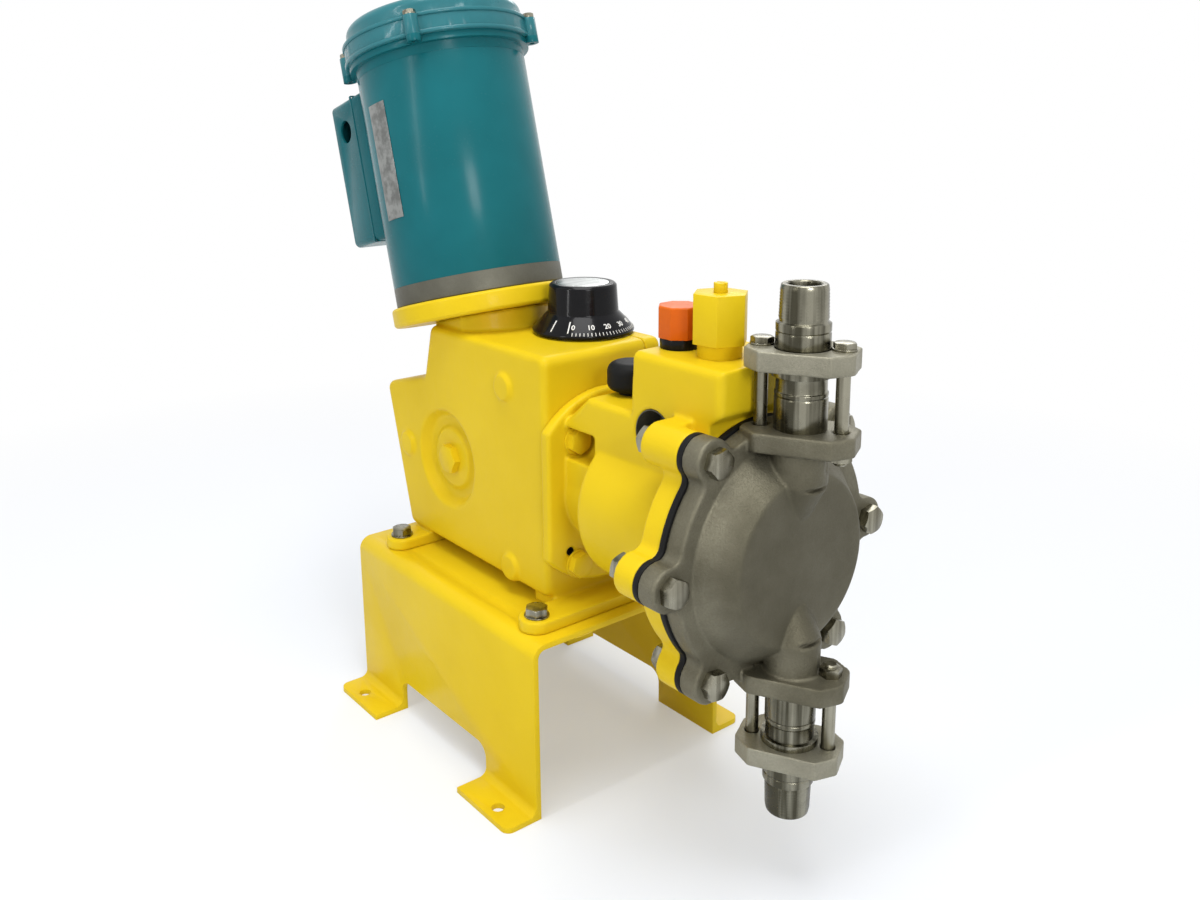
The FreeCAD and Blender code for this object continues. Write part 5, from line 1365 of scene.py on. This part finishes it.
@dataclass
class Valve:
    """One ball check valve, with sizes measured outwards from the pump axis."""

    shop: Workshop
    side: Side
    start: float = 0.096
    step: float = 0.122
    shoulder: float = 0.133
    clamp_start: float = 0.138
    clamp_end: float = 0.152
    nipple_start: float = 0.169
    end: float = 0.195
    body_radius: float = 0.018
    waist_radius: float = 0.0172
    shoulder_radius: float = 0.0205
    collar_radius: float = 0.0184
    nipple_radius: float = 0.0167
    bore: float = 0.011
    chamber: float = 0.0125
    pitch: float = 0.0022
    thread_depth: float = 0.00022
    groove: float = 0.0004
    groove_side: float = 0.0006
    low_groove: float = 0.004
    high_groove: float = 0.010
    chamfer: float = 0.0008
    bore_chamfer: float = 0.001
    run_in: tuple[float, float] = (0.0006, 0.001)
    thread_start: float = 0.003
    thread_end: float = 0.001
    tip: Profile = ((0.0012, 0.0006), (0.0020, 0.0))
    taper: float = 32.0
    edge: float = 0.0003
    grid: float = 0.0008
    passes: int = 4

    def build(self) -> None:
        """Dress the turned body and the clamp."""
        name = self.side.name.lower()
        axis = Vector((0, 0, self.side.value))
        base = Vector((self.shop.valve_x, 0, self.shop.pump_height))
        body = lathe(self._profile(), facing(base, axis), self.edge, 128, ring=True)
        self.shop.add(
            f"{name}_valve_turning", body, Slot.TURNED_STAINLESS, (f"{name}_valve_body",)
        )
        clamp = f"{name}_clamp"
        self.shop.cast(f"{clamp}_plate", clamp, Slot.CAST_STAINLESS, self.grid, self.passes)

    def _profile(self) -> list[tuple[float, float]]:
        """Outline of the turned body, up its outside and down its bore.

        Returns:
            Its radii and heights.
        """
        body, waist, ridge = self.body_radius, self.waist_radius, self.shoulder_radius
        collar, bore, chamber = self.collar_radius, self.bore, self.chamber
        return [
            (body, self.start),
            *self._groove(body, self.step - self.low_groove),
            (body, self.step),
            *((waist, height) for height in (self.step + self.chamfer, self.shoulder)),
            *((ridge, height) for height in (self.shoulder, self.clamp_start)),
            *((waist, height) for height in (self.clamp_start, self.clamp_end)),
            (collar, self.clamp_end),
            *self._groove(collar, self.clamp_end + self.high_groove),
            (collar, self.nipple_start),
            *self._thread(),
            (bore + self.bore_chamfer, self.end),
            *((bore, height) for height in (self.end - self.bore_chamfer, self.clamp_start)),
            *((chamber, height) for height in (self.clamp_start, self.start)),
        ]

    def _groove(self, radius: float, height: float) -> list[tuple[float, float]]:
        """Shallow turned groove at a height."""
        radii = (radius, radius - self.groove, radius - self.groove, radius)
        return [(each, height + turn * self.groove_side) for turn, each in enumerate(radii)]

    def _thread(self) -> list[tuple[float, float]]:
        """Tapered pipe thread of the nipple.

        Returns:
            Its radii and heights, outwards.
        """
        inset, along = self.run_in
        points = [(self.nipple_radius - inset, self.nipple_start + along)]
        low = self.nipple_start + self.thread_start
        for turn in range(int((self.end - self.thread_end - low) / self.pitch)):
            height = low + turn * self.pitch
            radius = self.nipple_radius - (height - low) / self.taper
            points.append((radius - self.thread_depth, height))
            points.append((radius, height + self.pitch / 2))
        return points + [(self.nipple_radius - inset, self.end - back) for inset, back in self.tip]


@dataclass
class TieBolts:
    """The four long bolts that hold both valves, with nuts on the head's plates."""

    shop: Workshop
    bolt: HexBolt = field(
        default_factory=lambda: HexBolt(0.014, 0.0055, 0.00475, 0.0084, 0.070, 0.0065, 0.0015)
    )

    def build(self) -> None:
        """Dress the four bolts."""
        shapes = []
        for low, high in self.shop.solids("valve_tie_bolts", Matrix()):
            centre = (low + high) / 2
            side = Side.DISCHARGE if centre.z > self.shop.pump_height else Side.SUCTION
            axis = Vector((0, 0, side.value))
            length = high.z - low.z - self.bolt.head
            point = centre + axis * (length - self.bolt.head) / 2
            shapes += self.bolt.shapes(facing(point, axis), length)
        self.shop.add("tie_bolt_set", joined(shapes), Slot.ZINC_STEEL, ("valve_tie_bolts",))


@dataclass
class Knob:
    """Capacity knob with a flared skirt that carries a plain scale."""

    shop: Workshop
    rim: float = 0.0025
    flare_radius: float = 0.031
    flare: float = 0.017
    radius: float = 0.0295
    hollow: float = 0.015
    hollow_depth: float = 0.005
    spindle: float = 0.0061
    disc: float = 0.0229
    disc_depth: float = 0.0012
    disc_gap: float = 0.0003
    dome: Profile = ((0.6, 0.0003), (0.0, 0.0004))
    turn: float = 0.002
    step: float = 22.5
    numbers: int = 11
    ticks: int = 5
    first: float = 308.5
    index_lines: tuple[float, ...] = (280.5, 303.0)
    index_mark: Triple = (0.52, 0.0115, 0.0011)
    tick_mark: Triple = (0.13, 0.0032, 0.0006)
    mark_rise: float = 0.0003
    mark_edge: float = 0.0001
    digit_size: float = 0.0066
    digit_share: float = 0.52
    digit_depth: float = 0.00012
    digit_lift: float = 0.0001
    edge: float = 0.0006
    spindle_edge: float = 0.0004

    def build(self) -> None:
        """Dress the knob, its disc, the marks, the numbers and the spindle."""
        low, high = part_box("capacity_knob")
        centre = (low + high) / 2
        self.place = Matrix.Translation((centre.x, centre.y, low.z))
        self.height = high.z - low.z
        self.skirt = (high.x - low.x) / 2
        bm = lathe(self._profile(), self.place, self.edge, 144, ring=True)
        self.shop.add("knob_turning", bm, Slot.BLACK_PLASTIC, ("capacity_knob",), Body.KNOB)
        self._disc()
        marks = [self._line(angle, *self.index_mark) for angle in self.index_lines]
        for number in range(self.numbers):
            angle = self.first + number * self.step
            marks.append(self._number(angle, number * 10))
            marks += [
                self._line(angle + tick * self.step / self.ticks, *self.tick_mark)
                for tick in range(self.ticks)
            ]
        self.shop.add("knob_scale", joined(marks), Slot.WHITE_PLASTIC, (), Body.KNOB)
        self.shop.crisp(
            "spindle_turning", "control_spindle", Slot.GEAR_STEEL, self.spindle_edge, Body.KNOB
        )

    def _profile(self) -> list[tuple[float, float]]:
        """Outline of the knob, open below for its spindle.

        Returns:
            Its radii and heights.
        """
        top, turn, disc = self.height, self.turn, self.disc + self.disc_gap
        seat = top - self.disc_depth
        below = [(self.spindle, self.hollow_depth), (self.hollow, self.hollow_depth)]
        below += [(self.hollow, 0.0), (self.skirt, 0.0), (self.skirt, self.rim)]
        waist = [(self.flare_radius + turn, self.flare - turn), (self.flare_radius, self.flare)]
        grip = [(self.radius, top - turn), (self.radius - turn, top)]
        return below + waist + grip + [(disc, top), (disc, seat), (self.spindle, seat)]

    def _disc(self) -> None:
        """Bright, slightly domed disc let into the knob's top."""
        low, top = self.height - self.disc_depth, self.height
        profile = [(0, low), (self.disc, low), (self.disc, top)]
        profile += [(self.disc * share, top + rise) for share, rise in self.dome]
        bm = lathe(profile, self.place, FINE_EDGE)
        self.shop.add("knob_plate", bm, Slot.BRIGHT_PLATE, ("knob_disc",), Body.KNOB)

    def _on_skirt(self, angle: float, share: float) -> Matrix:
        """Place on the skirt's slope, with Z off the surface and Y up the slope.

        Args:
            angle: Angle round the knob in degrees.
            share: How far up the slope, from 0 to 1.

        Returns:
            The place.
        """
        run = self.skirt - self.flare_radius - self.turn
        rise = self.flare - self.turn - self.rim
        turned = math.radians(angle)
        outward = Vector((math.cos(turned), math.sin(turned), 0))
        slope = (Vector((0, 0, rise)) - outward * run).normalized()
        side = Vector((-outward.y, outward.x, 0))
        spot = outward * (self.skirt - run * share) + Vector((0, 0, self.rim + rise * share))
        columns = Matrix((side, slope, side.cross(slope))).transposed().to_4x4()
        return self.place @ Matrix.Translation(spot) @ columns

    def _line(self, angle: float, share: float, length: float, width: float) -> bmesh.types.BMesh:
        """One line of the scale."""
        size = (width, length, self.mark_rise)
        return block(size, self._on_skirt(angle, share), self.mark_edge)

    def _number(self, angle: float, value: int) -> bmesh.types.BMesh:
        """One plain number of the scale, above its tick.

        Args:
            angle: Angle round the knob in degrees.
            value: The number.

        Returns:
            Its closed letters.
        """
        curve = bpy.data.curves.new("number", "FONT")
        curve.body = str(value)
        curve.size = self.digit_size
        curve.align_x = curve.align_y = "CENTER"
        curve.extrude = curve.offset = self.digit_depth
        curve.resolution_u = 3
        text = linked("number", curve)
        graph = bpy.context.evaluated_depsgraph_get()
        mesh = bpy.data.meshes.new_from_object(text.evaluated_get(graph))
        bpy.data.objects.remove(text)
        bm = bmesh.new()
        bm.from_mesh(mesh)
        bpy.data.meshes.remove(mesh)
        lift = Matrix.Translation((0, 0, self.digit_lift))
        spot = self._on_skirt(angle, self.digit_share) @ lift
        bmesh.ops.transform(bm, matrix=spot, verts=bm.verts)
        return bm


@dataclass
class Fittings:
    """Filler cap, relief valve and breather on the hydraulic body.

    Attributes:
        shop: The workshop.
        pieces: Name, CAD node, finish, width of the broken edges and body of each piece.
    """

    shop: Workshop
    pieces: tuple[tuple[str, str, Slot, float, Body], ...] = (
        ("filler_collar", "filler_neck", Slot.BLACK_PLASTIC, 0.0005, Body.FRAME),
        ("filler_cap_moulding", "filler_cap", Slot.ORANGE_PLASTIC, 0.0006, Body.FILLER_CAP),
        ("relief_body", "relief_valve_body", Slot.YELLOW_PAINT, 0.0010, Body.FRAME),
        ("relief_nub", "relief_screw", Slot.YELLOW_PAINT, 0.0004, Body.RELIEF_SCREW),
        ("breather_cap", "breather", Slot.BLACK_RUBBER, 0.0005, Body.FRAME),
    )

    def build(self) -> None:
        """Dress the fittings."""
        for piece in self.pieces:
            self.shop.crisp(*piece)


@dataclass
class Studio:
    """Floor, lights and the camera at the photograph's viewing angle."""

    position: Triple = (0.7888, -0.5669, 0.5782)
    azimuth: float = 52.93
    elevation: float = 12.91
    roll: float = -0.94
    focal_px: float = 1111.4
    centre_px: tuple[float, float] = (551.7, 346.0)
    image_px: tuple[int, int] = (1200, 900)
    sensor: float = 36.0
    nearest: float = 0.01
    floor_radius: float = 5.0
    fade: tuple[float, float] = (0.42, 1.35)
    world_colour: Colour = (0.96, 0.98, 1.0)
    world_strength: float = 0.50
    floor_colours: tuple[Colour, Colour] = ((0.80, 0.825, 0.870), (0.77, 0.795, 0.840))
    floor_glow: float = 0.30
    aim: Triple = (0.05, 0.0, 0.3)
    lamps: tuple[tuple[str, Triple, tuple[float, float], float], ...] = (
        ("key", (0.1, -2.5, 1.6), (0.16, 2.2), 17.0),
        ("fill", (2.5, -0.9, 1.3), (0.6, 0.6), 21.0),
        ("rear", (-1.4, 2.0, 2.0), (1.2, 1.2), 18.0),
        ("top", (0.4, -0.3, 2.6), (1.4, 1.4), 42.0),
    )

    def build(self) -> None:
        """Make the whole studio."""
        bpy.context.scene.view_settings.view_transform = "Standard"
        self._camera()
        self._world()
        self._floor()
        for name, place, size, power in self.lamps:
            self._lamp(name, place, size, power)

    def _camera(self) -> None:
        """Camera fitted to the photograph."""
        angles = (self.azimuth, self.elevation, self.roll)
        turn, lift, roll = (math.radians(angle) for angle in angles)
        level = math.cos(lift)
        back = Vector((math.sin(turn) * level, -math.cos(turn) * level, math.sin(lift)))
        right = Vector((math.cos(turn), math.sin(turn), 0))
        up = back.cross(right)
        turned_right = right * math.cos(roll) + up * math.sin(roll)
        turned_up = up * math.cos(roll) - right * math.sin(roll)
        data = bpy.data.cameras.new("camera")
        width, height = self.image_px
        data.sensor_width = self.sensor
        data.lens = self.focal_px / width * self.sensor
        data.shift_x = (width / 2 - self.centre_px[0]) / width
        data.shift_y = (self.centre_px[1] - height / 2) / width
        data.clip_start = self.nearest
        camera = linked("camera", data)
        axes = Matrix((turned_right, turned_up, back)).transposed().to_4x4()
        camera.matrix_world = Matrix.Translation(self.position) @ axes
        bpy.context.scene.camera = camera

    def _world(self) -> None:
        """Even light, and a white background behind the object."""
        world = bpy.data.worlds.new("studio")
        bpy.context.scene.world = world
        graph = Graph(world)
        kind = "ShaderNodeBackground"
        light = {"Color": self.world_colour, "Strength": self.world_strength}
        dim = graph.node(kind, inputs=light)
        white = graph.node(kind, inputs={"Color": WHITE, "Strength": 1.0})
        both = graph.node("ShaderNodeMixShader", inputs={0: graph.seen(), 1: dim, 2: white})
        graph.node("ShaderNodeOutputWorld", inputs={"Surface": both})

    def _floor(self) -> None:
        """Pale floor that fades to the background's white."""
        graph = Graph(bpy.data.materials.new("floor"))
        fade = graph.ramp(graph.distance((0.0, 0.0, 0.0)), *self.fade)
        shade = graph.mix(graph.noise(3.0, 2.0) * 0.2, *self.floor_colours)
        diffuse = graph.node("ShaderNodeBsdfDiffuse", inputs={"Color": shade})
        white = graph.node("ShaderNodeEmission", inputs={"Color": WHITE, "Strength": 1.0})
        share = (self.floor_glow + fade * (1.0 - self.floor_glow)) * graph.seen()
        both = graph.node("ShaderNodeMixShader", inputs={0: share, 1: diffuse, 2: white})
        graph.node("ShaderNodeOutputMaterial", inputs={"Surface": both})
        bm = bmesh.new()
        bmesh.ops.create_circle(bm, cap_ends=True, segments=96, radius=self.floor_radius)
        mesh = used_up("floor", bm)
        mesh.materials.append(graph.owner)
        linked("floor", mesh)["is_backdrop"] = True

    def _lamp(self, name: str, place: Triple, size: tuple[float, float], power: float) -> None:
        """Add a soft lamp that looks at the middle of the object.

        Args:
            name: Its name.
            place: Where it hangs.
            size: Its width and height.
            power: Its power in watts.
        """
        data = bpy.data.lights.new(name, "AREA")
        data.shape = "RECTANGLE"
        data.size, data.size_y = size
        data.energy = power
        lamp = linked(name, data)
        way = Vector(self.aim) - Vector(place)
        lamp.rotation_euler = way.to_track_quat("-Z", "Y").to_euler()
        lamp.location = place


def main() -> None:
    """Build the scene, one sub-assembly at a time."""
    logging.basicConfig(level=logging.INFO, format="%(message)s")
    shop = Workshop()
    shop.paint_nodes()
    Studio().build()
    for kind in (Stand, Gearbox, Motor, HydraulicBody, LiquidHead):
        kind(shop).build()
    for side in Side:
        Valve(shop, side).build()
    for kind in (TieBolts, Knob, Fittings):
        kind(shop).build()


if __name__ == "__main__":
    main()
